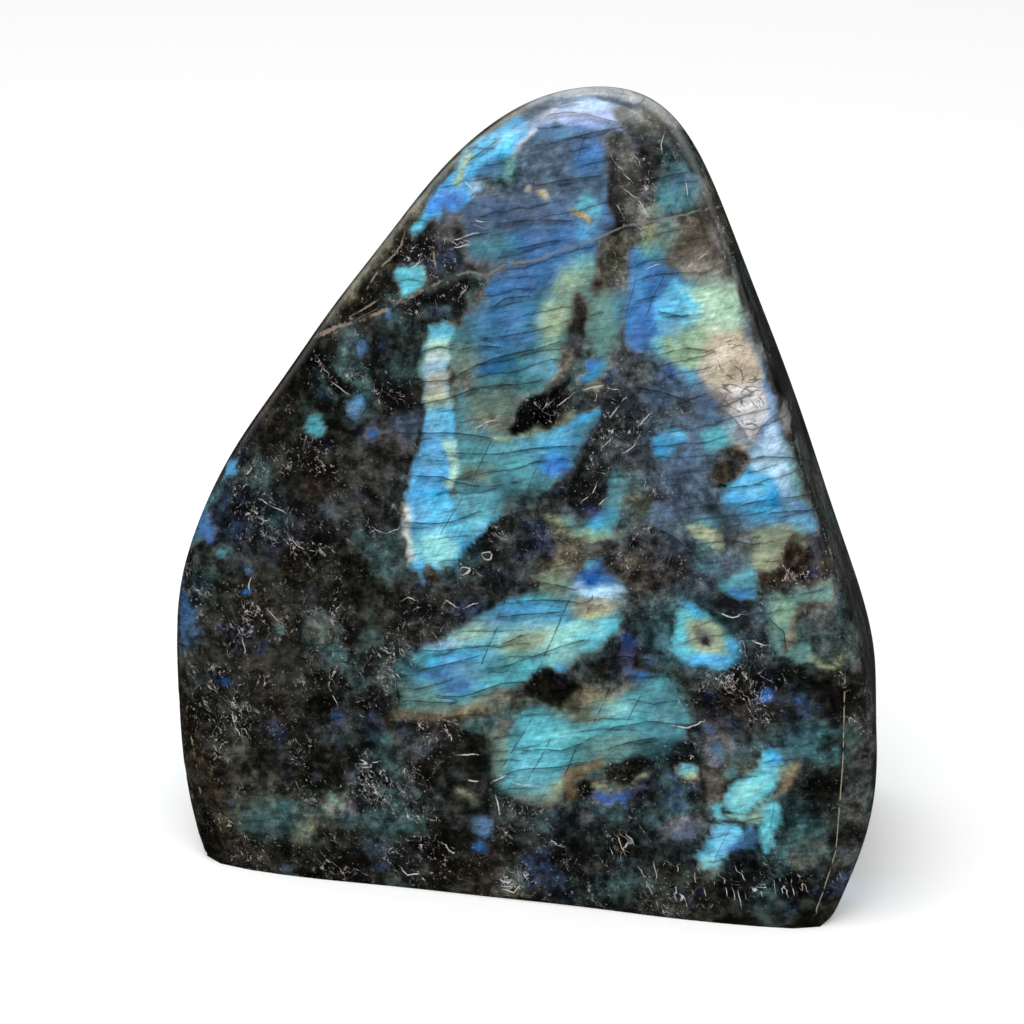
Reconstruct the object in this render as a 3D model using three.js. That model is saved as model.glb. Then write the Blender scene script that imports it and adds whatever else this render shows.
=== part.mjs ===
// A polished labradorite freeform: one thick, leaning wedge of dark feldspar on a flat sawn base.
// Millimetres, +Z up from the base to the crown. The polished front faces -Y and its right side +X.
// The stone is one solid. Broad ground facets around a point inside it melt into one another at
// rounded edges, the base is cut flat, and its rim is broken by a small arris.

import * as THREE from 'three';
import { mergeVertices } from 'three/addons/utils/BufferGeometryUtils.js';

// The point inside the stone that the facets are measured from, as a height above the base.
const HEART_HEIGHT = 68;

// Ground facets. The azimuth turns from the front (0) to the right (90), the back (180) and the
// left (-90). The tilt is how far the facet looks up. The distance is from the heart.
const FACETS = [
  { name: 'front', azimuth: 0, tilt: 9, distance: 23 },
  { name: 'back', azimuth: 180, tilt: 8, distance: 21 },
  { name: 'left slope', azimuth: -93, tilt: 34.5, distance: 64.5 },
  { name: 'left side', azimuth: -94, tilt: -1, distance: 76 },
  { name: 'left foot', azimuth: -96, tilt: -28, distance: 95.5 },
  { name: 'right slope', azimuth: 97, tilt: 20, distance: 57.5 },
  { name: 'right knee', azimuth: 95, tilt: -4, distance: 86 },
  { name: 'right foot', azimuth: 95, tilt: -20.5, distance: 83 },
  { name: 'crown', azimuth: 0, tilt: 84, distance: 100 },
  { name: 'crown left', azimuth: -90, tilt: 60, distance: 95 },
  { name: 'crown right', azimuth: 95, tilt: 50, distance: 101 },
];

// How sharply neighbouring facets meet: a higher number gives a tighter edge.
const EDGE_SHARPNESS = 11;

// The small flat that breaks the rim of the sawn base.
const BASE_ARRIS = 0.8;

// The slight unevenness of grinding by hand.
const GRIND_DEPTH = 0.25;
const GRIND_PITCH = 52;

// Surface divisions around the stone, and up it below and above the heart.
const COLUMNS = 96;
const LOWER_RINGS = 18;
const UPPER_RINGS = 28;
const RINGS = LOWER_RINGS + UPPER_RINGS;

// Half width, half depth and height above the heart, used only to spread the divisions evenly.
const SPREAD = new THREE.Vector3(70, 23, 97);

const HEART = new THREE.Vector3(0, 0, HEART_HEIGHT);
const FARTHEST = 260;
const HALVINGS = 40;

/** The outward direction of a facet. */
function facetNormal({ azimuth, tilt }) {
  const turn = THREE.MathUtils.degToRad(azimuth);
  const rise = THREE.MathUtils.degToRad(tilt);
  const level = Math.cos(rise);
  return new THREE.Vector3(Math.sin(turn) * level, -Math.cos(turn) * level, Math.sin(rise));
}

const GROUND = FACETS.map((facet) => ({ normal: facetNormal(facet), distance: facet.distance }));

/** The depth that hand grinding takes off or leaves at a point. */
function grindAt(point) {
  const turn = (2 * Math.PI) / GRIND_PITCH;
  const across = Math.sin(turn * (point.x + 0.4 * point.z) + 0.7);
  const along = Math.sin(turn * (0.8 * point.z - 0.3 * point.x + 0.6 * point.y) + 2.1);
  return GRIND_DEPTH * across * along;
}

/** Below 1 inside the stone and above 1 outside it, before its base is cut. */
function fullness(point) {
  const ray = point.clone().sub(HEART);
  const swell = grindAt(point);
  let sum = 0;
  for (const { normal, distance } of GROUND) {
    const reach = ray.dot(normal) / (distance + swell);
    sum += Math.max(0, reach) ** EDGE_SHARPNESS;
  }
  return sum ** (1 / EDGE_SHARPNESS);
}

/** The point where a ray from inside the stone leaves it. */
function surfacePoint(start, direction) {
  let inside = 0;
  let outside = FARTHEST;
  for (let step = 0; step < HALVINGS; step += 1) {
    const middle = (inside + outside) / 2;
    if (fullness(start.clone().addScaledVector(direction, middle)) < 1) {
      inside = middle;
    } else {
      outside = middle;
    }
  }
  return start.clone().addScaledVector(direction, inside);
}

/** A level direction, spread so that the ends of the stone are divided as finely as its faces. */
function levelDirection(angle) {
  return new THREE.Vector3(SPREAD.x * Math.sin(angle), -SPREAD.y * Math.cos(angle), 0).normalize();
}

/** A point on the outline of a level slice below the heart. */
function slicePoint(angle, height) {
  return surfacePoint(new THREE.Vector3(0, 0, height), levelDirection(angle));
}

/** A point of the sawn base's rim, drawn in by the arris. */
function rimPoint(angle) {
  const point = slicePoint(angle, 0);
  const drawnIn = levelDirection(angle).multiplyScalar(BASE_ARRIS);
  return point.sub(drawnIn).setZ(0);
}

/** A point on the stone above the heart, at a share of the way up to the crown. */
function fanPoint(angle, share) {
  const rise = (share * Math.PI) / 2;
  const level = Math.cos(rise);
  const direction = new THREE.Vector3(
    SPREAD.x * Math.sin(angle) * level,
    -SPREAD.y * Math.cos(angle) * level,
    SPREAD.z * Math.sin(rise),
  );
  return surfacePoint(HEART, direction.normalize());
}

/** The place on the stone of a ring and an angle around it. */
function stonePoint(ring, angle) {
  if (ring === 0) {
    return rimPoint(angle);
  }
  if (ring < LOWER_RINGS) {
    const share = (ring - 1) / (LOWER_RINGS - 1);
    return slicePoint(angle, THREE.MathUtils.lerp(BASE_ARRIS, HEART_HEIGHT, share));
  }
  return fanPoint(angle, (ring - LOWER_RINGS) / (UPPER_RINGS + 1));
}

/** The closed body of the stone, shaped from an upright drum of one unit. */
function stoneGeometry() {
  const drum = new THREE.CylinderGeometry(1, 1, 1, COLUMNS, RINGS);
  drum.deleteAttribute('normal');
  drum.deleteAttribute('uv');
  const body = mergeVertices(drum, 1e-6);
  const position = body.getAttribute('position');
  for (let index = 0; index < position.count; index += 1) {
    const x = position.getX(index);
    const y = position.getY(index);
    const z = position.getZ(index);
    const ring = Math.round((y + 0.5) * RINGS);
    const isCapCentre = Math.hypot(x, z) < 0.5;
    let place = stonePoint(ring, Math.atan2(x, z));
    if (isCapCentre) {
      place = ring === 0 ? new THREE.Vector3() : fanPoint(0, 1);
    }
    position.setXYZ(index, place.x, place.y, place.z);
  }
  body.computeBoundingBox();
  const middle = body.boundingBox.getCenter(new THREE.Vector3());
  body.translate(-middle.x, -middle.y, 0);
  body.computeVertexNormals();
  return body;
}

/** Dark polished feldspar with a blue cast. */
function labradorite() {
  return new THREE.MeshStandardMaterial({ color: 0x27343a, roughness: 0.12, metalness: 0 });
}

const freeform = new THREE.Group();
const stone = new THREE.Mesh(stoneGeometry(), labradorite());
stone.name = 'stone';
freeform.add(stone);

export default freeform;
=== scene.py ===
"""Dresses the labradorite freeform: its polished skin, the flashes of colour in it, and a plain studio.

The skin is a smooth copy of the solid. Each flash, crack and dark patch of the front is drawn as a shape in
the photograph's 1024 pixel frame, and laid on the skin as attributes that the finish reads. The sides and
the back carry the same kinds of flash, grown by noise through the stone.
"""

import logging
import math
from dataclasses import dataclass, field
from enum import Enum

import bmesh
import bpy
import numpy as np
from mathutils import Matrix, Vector
from mathutils.bvhtree import BVHTree
from mathutils.noise import noise_vector, seed_set

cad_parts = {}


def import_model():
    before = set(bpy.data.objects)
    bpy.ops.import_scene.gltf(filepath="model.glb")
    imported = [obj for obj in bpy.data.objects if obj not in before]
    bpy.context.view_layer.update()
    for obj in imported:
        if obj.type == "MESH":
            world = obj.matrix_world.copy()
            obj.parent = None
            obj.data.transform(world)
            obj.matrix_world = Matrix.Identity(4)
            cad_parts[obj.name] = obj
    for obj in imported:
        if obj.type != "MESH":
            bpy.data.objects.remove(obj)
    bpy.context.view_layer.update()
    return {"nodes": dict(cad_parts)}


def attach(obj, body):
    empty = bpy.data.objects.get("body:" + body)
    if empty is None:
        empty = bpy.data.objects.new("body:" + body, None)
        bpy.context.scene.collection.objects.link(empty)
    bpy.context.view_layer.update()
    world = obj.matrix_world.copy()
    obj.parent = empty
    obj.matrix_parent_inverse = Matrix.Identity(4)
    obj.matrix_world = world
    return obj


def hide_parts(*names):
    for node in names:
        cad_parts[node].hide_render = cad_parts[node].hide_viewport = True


LOG = logging.getLogger("labradorite")

NODE = "stone"
BODY = "root"
IMAGE = 1024
NOISE_MIDDLE = 0.5
TINY = 1e-9

Point = tuple[float, float]
Run = tuple[Point, ...]
Span = tuple[float, float]
Stretch = tuple[float, float, float]
Socket = bpy.types.NodeSocket
Value = Socket | float


def to_linear(shade: np.ndarray) -> np.ndarray:
    """Turns screen colours into linear light, by the sRGB curve.

    Args:
        shade: Colours as a screen shows them, from 0 to 1.

    Returns:
        The same colours in linear light.
    """
    return np.where(shade <= 0.04045, shade / 12.92, ((shade + 0.055) / 1.055) ** 2.4)


class Hue(Enum):
    """Colours of the stone, as they look on a screen."""

    INK = (9, 10, 10)
    SOOT = (27, 26, 23)
    NIGHT = (28, 32, 44)
    MIDNIGHT = (34, 46, 74)
    OLIVE_BLACK = (40, 40, 35)
    BARK = (60, 50, 32)
    UMBER = (56, 48, 37)
    COAL = (56, 58, 58)
    GRAPHITE = (66, 70, 76)
    SMOKE = (78, 80, 79)
    FOG = (114, 116, 112)
    # Painted reflection: the pale grey of the white surround mirrored in the polished top rim.
    RIM_REFLECTION_GREY = (158, 163, 168)
    PINE = (42, 68, 70)
    MOSS = (68, 72, 61)
    LICHEN = (96, 102, 86)
    SAGE = (126, 138, 114)
    SLATE = (78, 94, 115)
    STORM = (80, 102, 134)
    STEEL = (90, 128, 170)
    DENIM = (64, 110, 168)
    INDIGO = (38, 58, 124)
    ROYAL = (48, 94, 186)
    COBALT = (62, 122, 212)
    AZURE = (78, 162, 218)
    SKY = (112, 192, 230)
    ICE = (178, 212, 238)
    CYAN = (100, 186, 206)
    AQUA = (148, 216, 216)
    MINT = (176, 212, 188)
    TURQUOISE = (90, 164, 178)
    TEAL = (72, 127, 140)
    DEEP_TEAL = (48, 80, 87)
    SEA = (106, 149, 144)
    CELADON = (150, 180, 147)
    GOLD_GREEN = (178, 187, 144)
    STRAW = (204, 192, 148)
    GOLD = (182, 161, 112)
    TAN = (187, 174, 149)
    CLAY = (146, 128, 112)
    BRONZE = (131, 110, 82)
    CREAM = (222, 214, 191)
    BLUSH = (203, 197, 195)
    PEARL = (211, 213, 216)
    LAVENDER = (162, 178, 220)
    LILAC = (164, 182, 230)

    @property
    def shade(self) -> np.ndarray:
        """The colour as a screen shows it, from 0 to 1."""
        return np.array(self.value, float) / 255.0

    @property
    def linear(self) -> tuple[float, float, float]:
        """The colour in linear light."""
        return tuple(float(part) for part in to_linear(self.shade))


Tint = Socket | Hue | Stretch


def ease(low: float, high: float, x: np.ndarray) -> np.ndarray:
    """A smooth step.

    Args:
        low: Where the step starts from 0.
        high: Where it reaches 1.
        x: The values to step over.

    Returns:
        Shares from 0 to 1.
    """
    share = np.clip((x - low) / (high - low), 0.0, 1.0)
    return share * share * (3.0 - 2.0 * share)


def nearest_on(points: np.ndarray, start: np.ndarray, end: np.ndarray) -> tuple[np.ndarray, np.ndarray]:
    """The distance from points to a straight stretch, and which side of it they are on.

    Args:
        points: Pixel positions, one a row.
        start: The stretch's first end.
        end: The stretch's other end.

    Returns:
        The distances, and the same distances signed by side.
    """
    along = end - start
    share = np.clip(((points - start) @ along) / max(float(along @ along), TINY), 0.0, 1.0)
    gap = points - (start + share[:, None] * along)
    distance = np.hypot(gap[:, 0], gap[:, 1])
    side = np.sign(along[0] * gap[:, 1] - along[1] * gap[:, 0])
    return distance, distance * np.where(side == 0, 1.0, side)


@dataclass(frozen=True)
class Spot:
    """An oval patch: centre and half sizes in photograph pixels, and its turn in degrees."""

    x: float
    y: float
    wide: float
    high: float
    turn: float = 0.0

    @property
    def reach(self) -> tuple[float, float, float, float]:
        """The box that the patch lies in."""
        far = max(self.wide, self.high)
        return self.x - far, self.y - far, self.x + far, self.y + far

    def depth(self, points: np.ndarray) -> np.ndarray:
        """How far inside the patch each point is.

        Args:
            points: Pixel positions, one a row.

        Returns:
            Pixels, positive inside.
        """
        turn = math.radians(self.turn)
        gap = points - np.array([self.x, self.y])
        u = (gap[:, 0] * math.cos(turn) + gap[:, 1] * math.sin(turn)) / self.wide
        v = (gap[:, 1] * math.cos(turn) - gap[:, 0] * math.sin(turn)) / self.high
        return (1.0 - np.hypot(u, v)) * min(self.wide, self.high)


@dataclass(frozen=True)
class Outline:
    """A patch with a drawn edge, in photograph pixels."""

    points: tuple[Point, ...]

    @property
    def reach(self) -> tuple[float, float, float, float]:
        """The box that the outline lies in.

        Returns:
            Its low x, low y, high x and high y, in pixels.
        """
        xs = [p[0] for p in self.points]
        ys = [p[1] for p in self.points]
        return min(xs), min(ys), max(xs), max(ys)

    def depth(self, points: np.ndarray) -> np.ndarray:
        """How far inside the edge each point is.

        Args:
            points: Pixel positions, one a row.

        Returns:
            Pixels, positive inside.
        """
        corners = np.array(self.points, float)
        nearest = np.full(len(points), np.inf)
        inside = np.zeros(len(points), bool)
        for start, end in zip(corners, np.roll(corners, -1, axis=0)):
            nearest = np.minimum(nearest, nearest_on(points, start, end)[0])
            crosses = (start[1] > points[:, 1]) != (end[1] > points[:, 1])
            rise = end[1] - start[1]
            at = start[0] + (points[:, 1] - start[1]) * (end[0] - start[0]) / (rise if rise else TINY)
            inside ^= crosses & (points[:, 0] < at)
        return np.where(inside, nearest, -nearest)


@dataclass(frozen=True)
class Trail:
    """A band of one width along a drawn line, in photograph pixels."""

    points: tuple[Point, ...]
    width: float

    @property
    def reach(self) -> tuple[float, float, float, float]:
        """The box that the band lies in.

        Returns:
            Its low x, low y, high x and high y, in pixels.
        """
        low_x, low_y, high_x, high_y = Outline(self.points).reach
        half = self.width / 2
        return low_x - half, low_y - half, high_x + half, high_y + half

    def depth(self, points: np.ndarray) -> np.ndarray:
        """How far inside the band each point is.

        Args:
            points: Pixel positions, one a row.

        Returns:
            Pixels, positive inside.
        """
        line = np.array(self.points, float)
        nearest = np.full(len(points), np.inf)
        for start, end in zip(line[:-1], line[1:]):
            nearest = np.minimum(nearest, nearest_on(points, start, end)[0])
        return self.width / 2 - nearest


Shape = Spot | Outline | Trail


@dataclass(frozen=True)
class Patch:
    """One drawn patch of colour: what it is, its colour and shape, its soft edge and its strength."""

    name: str
    hue: Hue
    shape: Shape
    soft: float
    strength: float


@dataclass(frozen=True)
class Line:
    """A crack or sliver drawn as a line in photograph pixels, with its half width there and its colour."""

    name: str
    points: Run
    half_width: float
    hue: Hue


@dataclass(frozen=True)
class Cluster:
    """A place where grains and pale flecks crowd together, and how strongly they show."""

    name: str
    spot: Spot
    strength: float


def oval(name: str, hue: Hue, x: float, y: float, wide: float, high: float, turn: float = 0.0,
         soft: float = 6.0, strength: float = 0.9) -> Patch:
    """Draws an oval patch.

    Args:
        name: What the patch is.
        hue: Its colour.
        x: Its centre across the photograph.
        y: Its centre down the photograph.
        wide: Half its width.
        high: Half its height.
        turn: Its turn in degrees.
        soft: Half the width of its soft edge.
        strength: How much it covers.

    Returns:
        The patch.
    """
    return Patch(name, hue, Spot(x, y, wide, high, turn), soft, strength)


def ovals(name: str, hue: Hue, *sizes: tuple[float, ...]) -> tuple[Patch, ...]:
    """Draws several oval patches of one colour.

    Args:
        name: What the patches are.
        hue: Their colour.
        sizes: For each, its centre, half its width and height, and what else oval() may be given.

    Returns:
        The patches.
    """
    return tuple(oval(name, hue, *size) for size in sizes)


def area(name: str, hue: Hue, points: Run, soft: float = 5.0, strength: float = 0.95) -> Patch:
    """Draws a patch with an edge of its own.

    Args:
        name: What the patch is.
        hue: Its colour.
        points: Its edge.
        soft: Half the width of its soft edge.
        strength: How much it covers.

    Returns:
        The patch.
    """
    return Patch(name, hue, Outline(points), soft, strength)


def band(name: str, hue: Hue, points: Run, width: float, soft: float = 4.0, strength: float = 0.9) -> Patch:
    """Draws a band along a line.

    Args:
        name: What the band is.
        hue: Its colour.
        points: The line along its middle.
        width: Its width.
        soft: Half the width of its soft edge.
        strength: How much it covers.

    Returns:
        The patch.
    """
    return Patch(name, hue, Trail(points, width), soft, strength)


def lines(name: str, hue: Hue, half_width: float, *runs: Run) -> tuple[Line, ...]:
    """Draws several cracks or slivers of one place.

    Args:
        name: Where they are.
        hue: Their colour.
        half_width: Half their width.
        runs: The line of each.

    Returns:
        The lines.
    """
    return tuple(Line(name, run, half_width, hue) for run in runs)


# Broad washes of the dark ground.
GROUND_WASH: tuple[Patch, ...] = (
    oval("slate mid", Hue.SLATE, 655, 430, 66, 86, 20, 30, 0.75),
    *ovals("graphite spots", Hue.GRAPHITE, (690, 570, 90, 56, 0, 30, 0.65), (655, 200, 46, 76, 0, 20, 0.6),
        (640, 420, 60, 74, 30, 24, 0.8)),
    oval("moss right", Hue.MOSS, 800, 600, 46, 70, 0, 24, 0.6),
    oval("teal foot right", Hue.DEEP_TEAL, 640, 826, 120, 34, 5, 28, 0.4),
    oval("slate gap", Hue.COAL, 470, 590, 70, 34, -20, 24, 0.5),
    oval("brown flank", Hue.SOOT, 300, 660, 60, 70, 0, 40, 0.6),
    oval("blue flank", Hue.NIGHT, 262, 520, 60, 34, 0, 24, 0.6),
    oval("grey left of the blade", Hue.COAL, 385, 490, 26, 70, 0, 20, 0.8),
    oval("violet ground", Hue.GRAPHITE, 745, 640, 30, 44, 0, 16, 0.8),
    oval("brown ground", Hue.UMBER, 640, 575, 44, 24, 0, 16, 0.7),
    *ovals("slate spots", Hue.SLATE, (690, 500, 40, 34, 20, 24, 0.6), (690, 575, 34, 22, 20, 16, 0.5)),
    oval("blue ground", Hue.STORM, 712, 470, 26, 20, 0, 14, 0.5),
    oval("slate under the blade", Hue.GRAPHITE, 560, 560, 46, 22, -20, 18, 0.6),
    oval("teal low right", Hue.DEEP_TEAL, 800, 770, 34, 60, 0, 24, 0.6),
    *ovals("soot spots", Hue.SOOT, (770, 700, 90, 30, 0, 20, 0.8), (560, 860, 230, 30, 5, 24, 0.5), (452, 752,
        34, 28, 0, 16, 0.8), (215, 820, 20, 40, 0, 12, 0.8)),
    oval("pine foot", Hue.PINE, 600, 888, 40, 18, 0, 14, 0.7),
)

# The crown: grey and blue under a pale veil that is part lavender flash, part painted reflection of the
# overhead light; a bright left shoulder; a grey band of flecks on its right; pale bands of painted reflection
# along its rims.
CROWN: tuple[Patch, ...] = (
    area("crown under", Hue.SLATE, ((412, 236), (430, 200), (466, 150), (520, 112), (590, 98), (625, 112),
        (612, 150), (612, 226), (598, 262), (586, 306), (540, 302), (480, 310), (462, 322), (490, 282),
        (466, 266), (456, 232), (436, 226)), 6, 0.9),
    # The left rim, top rim and right rim bands are painted reflection: the white surround mirrored at a
    # grazing angle in the polished rims.
    band("left rim", Hue.LICHEN, ((330, 318), (400, 222), (450, 160), (500, 118), (535, 99)), 13, 5),
    band("top rim", Hue.RIM_REFLECTION_GREY, ((530, 100), (560, 91), (590, 88), (622, 92), (650, 104), (676, 122)), 15,
        5, 0.85),
    band("right rim", Hue.MOSS, ((688, 140), (715, 200), (742, 262), (762, 312)), 9, 4, 0.8),
    band("top haze", Hue.STORM, ((528, 110), (556, 101), (590, 97), (622, 102), (640, 112)), 12, 5, 0.7),
    oval("crown steel", Hue.STEEL, 566, 131, 34, 9, 0, 8),
    oval("crown cobalt", Hue.COBALT, 591, 155, 15, 11, 0, 7, 0.75),
    oval("crown denim", Hue.DENIM, 583, 170, 14, 9, 0, 7, 0.7),
    # The veil is a lavender flash with a painted reflection of the overhead light on the rounded crown; the
    # pearl, light and tail patches below it are painted highlight.
    area("veil", Hue.LILAC, ((541, 114), (552, 107), (572, 104), (590, 100), (612, 104), (619, 109),
        (613, 117), (622, 124), (627, 131), (606, 130), (590, 128), (572, 124), (556, 121), (545, 126),
        (536, 129), (526, 136), (519, 144), (513, 154), (511, 149), (518, 136), (530, 124)), 4, 0.75),
    oval("veil pearl", Hue.PEARL, 548, 111, 11, 5, -25, 4, 0.5),
    oval("veil light", Hue.ICE, 588, 107, 22, 6, 4, 4, 0.5),
    band("veil tail", Hue.PEARL, ((534, 130), (521, 141), (513, 152)), 6, 3, 0.7),
    area("shoulder", Hue.AZURE, ((411, 240), (414, 225), (424, 212), (432, 200), (440, 186), (452, 170),
        (466, 152), (482, 138), (500, 126), (518, 115), (527, 120), (524, 132), (516, 146), (508, 158),
        (494, 166), (484, 174), (474, 180), (470, 190), (472, 200), (462, 207), (452, 212), (444, 220),
        (437, 226), (433, 220), (424, 228), (416, 241)), 3.5),
    oval("shoulder sky", Hue.SKY, 496, 144, 28, 11, -34, 7, 0.8),
    band("shoulder gold", Hue.GOLD_GREEN, ((455, 182), (462, 168), (470, 156)), 8, 4, 0.8),
    oval("shoulder cobalt", Hue.COBALT, 447, 203, 18, 12, -20),
    oval("shoulder cyan", Hue.CYAN, 417, 229, 6, 12, 30, 4, 0.8),
    oval("shoulder pearl", Hue.ICE, 476, 187, 8, 7, 0, 4, 0.75),
    oval("dark slit", Hue.SLATE, 447, 215, 4, 9, 0, 3),
    oval("dark notch", Hue.SOOT, 426, 235, 5, 12, 15, 4),
    area("teal step", Hue.PINE, ((488, 168), (500, 160), (515, 157), (521, 168), (517, 184), (500, 192),
        (486, 190), (484, 178))),
    oval("teal strip", Hue.SEA, 512, 166, 6, 13, 15, 4, 0.7),
    area("blue below", Hue.STORM, ((470, 200), (500, 196), (560, 200), (611, 192), (612, 225), (600, 236),
        (560, 248), (520, 258), (500, 263), (480, 257), (462, 264), (456, 248), (466, 235), (460, 215))),
    oval("blue below deep", Hue.DENIM, 546, 242, 42, 13, -6, 9, 0.85),
    oval("green below", Hue.TEAL, 490, 248, 26, 14, 0, 9, 0.8),
    oval("cyan below", Hue.CYAN, 590, 208, 13, 12, 0, 6, 0.75),
    oval("sky below", Hue.AZURE, 588, 233, 13, 9, 0, 5, 0.85),
    oval("steel edge", Hue.STEEL, 606, 206, 5, 24, 0, 4, 0.8),
    *ovals("tan spots", Hue.TAN, (529, 187, 4, 3, 0, 2), (543, 194, 8, 3, 40, 2)),
    oval("gold flake", Hue.GOLD, 581, 218, 11, 3, 28, 2),
    area("dark shoulder", Hue.SOOT, ((399, 226), (412, 236), (426, 243), (440, 238), (455, 225), (463, 235),
        (456, 250), (462, 263), (450, 277), (430, 284), (424, 262), (408, 258), (395, 264), (386, 262)), 4,
        0.85),
    area("cyan chip", Hue.CYAN, ((392, 274), (398, 266), (408, 268), (414, 261), (422, 262), (427, 272),
        (424, 282), (416, 290), (404, 297), (400, 292), (401, 282)), 3),
    area("black below the crack", Hue.INK, ((392, 304), (430, 291), (448, 281), (470, 276), (486, 279),
        (476, 294), (463, 308), (446, 322), (425, 320), (405, 314)), 4, 0.85),
    area("blue under the crack", Hue.DENIM, ((488, 284), (512, 268), (545, 258), (580, 250), (597, 244),
        (599, 270), (590, 290), (578, 302), (555, 300), (540, 297), (520, 299), (500, 302), (485, 307),
        (468, 316), (462, 320), (470, 306), (480, 295))),
    area("gold under the crack", Hue.CELADON, ((558, 270), (575, 262), (592, 256), (599, 268), (590, 290),
        (576, 304), (562, 304), (550, 292)), 6, 0.9),
    oval("cyan under", Hue.CYAN, 583, 262, 9, 7, 0, 5, 0.7),
    oval("olive under", Hue.LICHEN, 480, 300, 12, 10, -35, 7, 0.7),
    area("olive gap", Hue.MOSS, ((599, 246), (626, 231), (632, 250), (626, 275), (617, 288), (601, 291),
        (596, 270)), 5, 0.9),
    area("smoke right", Hue.SMOKE, ((612, 112), (630, 105), (646, 115), (641, 129), (627, 129)), 4, 0.9),
    oval("olive top", Hue.LICHEN, 652, 121, 17, 11, 25, 7, 0.8),
    area("fleck band", Hue.SMOKE, ((606, 135), (628, 133), (645, 150), (654, 164), (661, 180), (652, 205),
        (640, 221), (618, 223), (611, 205), (610, 180), (602, 160))),
    oval("fleck band dusk", Hue.FOG, 630, 178, 16, 36, -8, 10, 0.55),
    oval("fleck band blue", Hue.NIGHT, 641, 151, 6, 12, -35, 4, 0.8),
    area("pine right", Hue.PINE, ((656, 138), (672, 128), (688, 137), (702, 165), (692, 172), (670, 170),
        (659, 164)), 5, 0.9),
    area("teal right", Hue.TEAL, ((660, 177), (680, 168), (695, 172), (704, 190), (706, 205), (682, 212),
        (662, 219), (655, 206)), 6, 0.75),
    oval("blue right", Hue.STEEL, 686, 182, 13, 9, 0, 6, 0.55),
    oval("sage right", Hue.SAGE, 652, 209, 8, 9, 0, 5, 0.7),
    oval("tan spot", Hue.BRONZE, 650, 233, 10, 11, 20, 5),
    *ovals("sea spots", Hue.SEA, (670, 231, 13, 11, 0, 6, 0.75), (656, 252, 17, 11, -15, 6, 0.8)),
    area("grey blob", Hue.FOG, ((664, 256), (684, 246), (710, 244), (724, 260), (728, 280), (712, 289),
        (694, 284), (676, 274)), 6),
    oval("fog right", Hue.FOG, 697, 232, 19, 15, 0, 8, 0.8),
    oval("slate edge", Hue.SLATE, 717, 240, 7, 22, -15, 5, 0.6),
)

# The upright blade of light left of the middle, with a band of cream near its top.
BLADE: tuple[Patch, ...] = (
    area("blade", Hue.AZURE, ((430, 325), (445, 323), (452, 332), (450, 354), (447, 377), (449, 393),
        (455, 412), (456, 430), (456, 455), (455, 472), (452, 500), (460, 516), (500, 517), (482, 535),
        (464, 551), (456, 564), (441, 563), (440, 571), (432, 566), (425, 584), (419, 586), (421, 576),
        (413, 570), (408, 550), (403, 525), (405, 510), (410, 480), (413, 465), (418, 450), (424, 430),
        (423, 410), (423, 345)), 2.5),
    oval("blade top", Hue.CYAN, 440, 333, 15, 10, 0, 4),
    area("blade mint", Hue.MINT, ((424, 341), (450, 339), (449, 362), (424, 364)), 6, 0.9),
    area("blade pearl", Hue.PEARL, ((424, 355), (449, 353), (447, 380), (424, 384)), 6, 0.55),
    area("blade tan", Hue.TAN, ((424, 374), (447, 372), (447, 397), (424, 400)), 6, 0.8),
    area("blade green", Hue.GOLD_GREEN, ((424, 394), (449, 391), (451, 406), (424, 409)), 6, 0.7),
    oval("blade light", Hue.SKY, 439, 420, 15, 14, 0, 6, 0.6),
    band("blade right edge", Hue.MINT, ((449, 444), (451, 462), (450, 484)), 11, 4, 0.85),
    band("blade foot edge", Hue.CREAM, ((407, 506), (407, 530), (413, 560)), 8, 4, 0.8),
    oval("blade foot", Hue.AQUA, 437, 548, 21, 18, 0, 7),
    oval("blade foot sky", Hue.SKY, 440, 512, 22, 16, 0, 8, 0.7),
    oval("blade sweep", Hue.CYAN, 474, 523, 22, 9, -22, 5, 0.8),
    area("grey under the sweep", Hue.DEEP_TEAL, ((462, 551), (480, 537), (489, 541), (482, 560), (472, 576),
        (455, 586), (444, 581), (452, 567)), 4, 0.8),
    oval("blade stub", Hue.UMBER, 429, 573, 7, 9, 0, 3),
    area("teal left", Hue.PINE, ((384, 362), (405, 350), (421, 344), (421, 378), (405, 387), (386, 386)), 7,
        0.8),
    band("blade halo", Hue.SEA, ((420, 342), (421, 376)), 5, 3, 0.8),
    area("slate left", Hue.STORM, ((394, 412), (418, 408), (421, 430), (413, 450), (396, 456), (386, 440)), 7,
        0.7),
)

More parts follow.
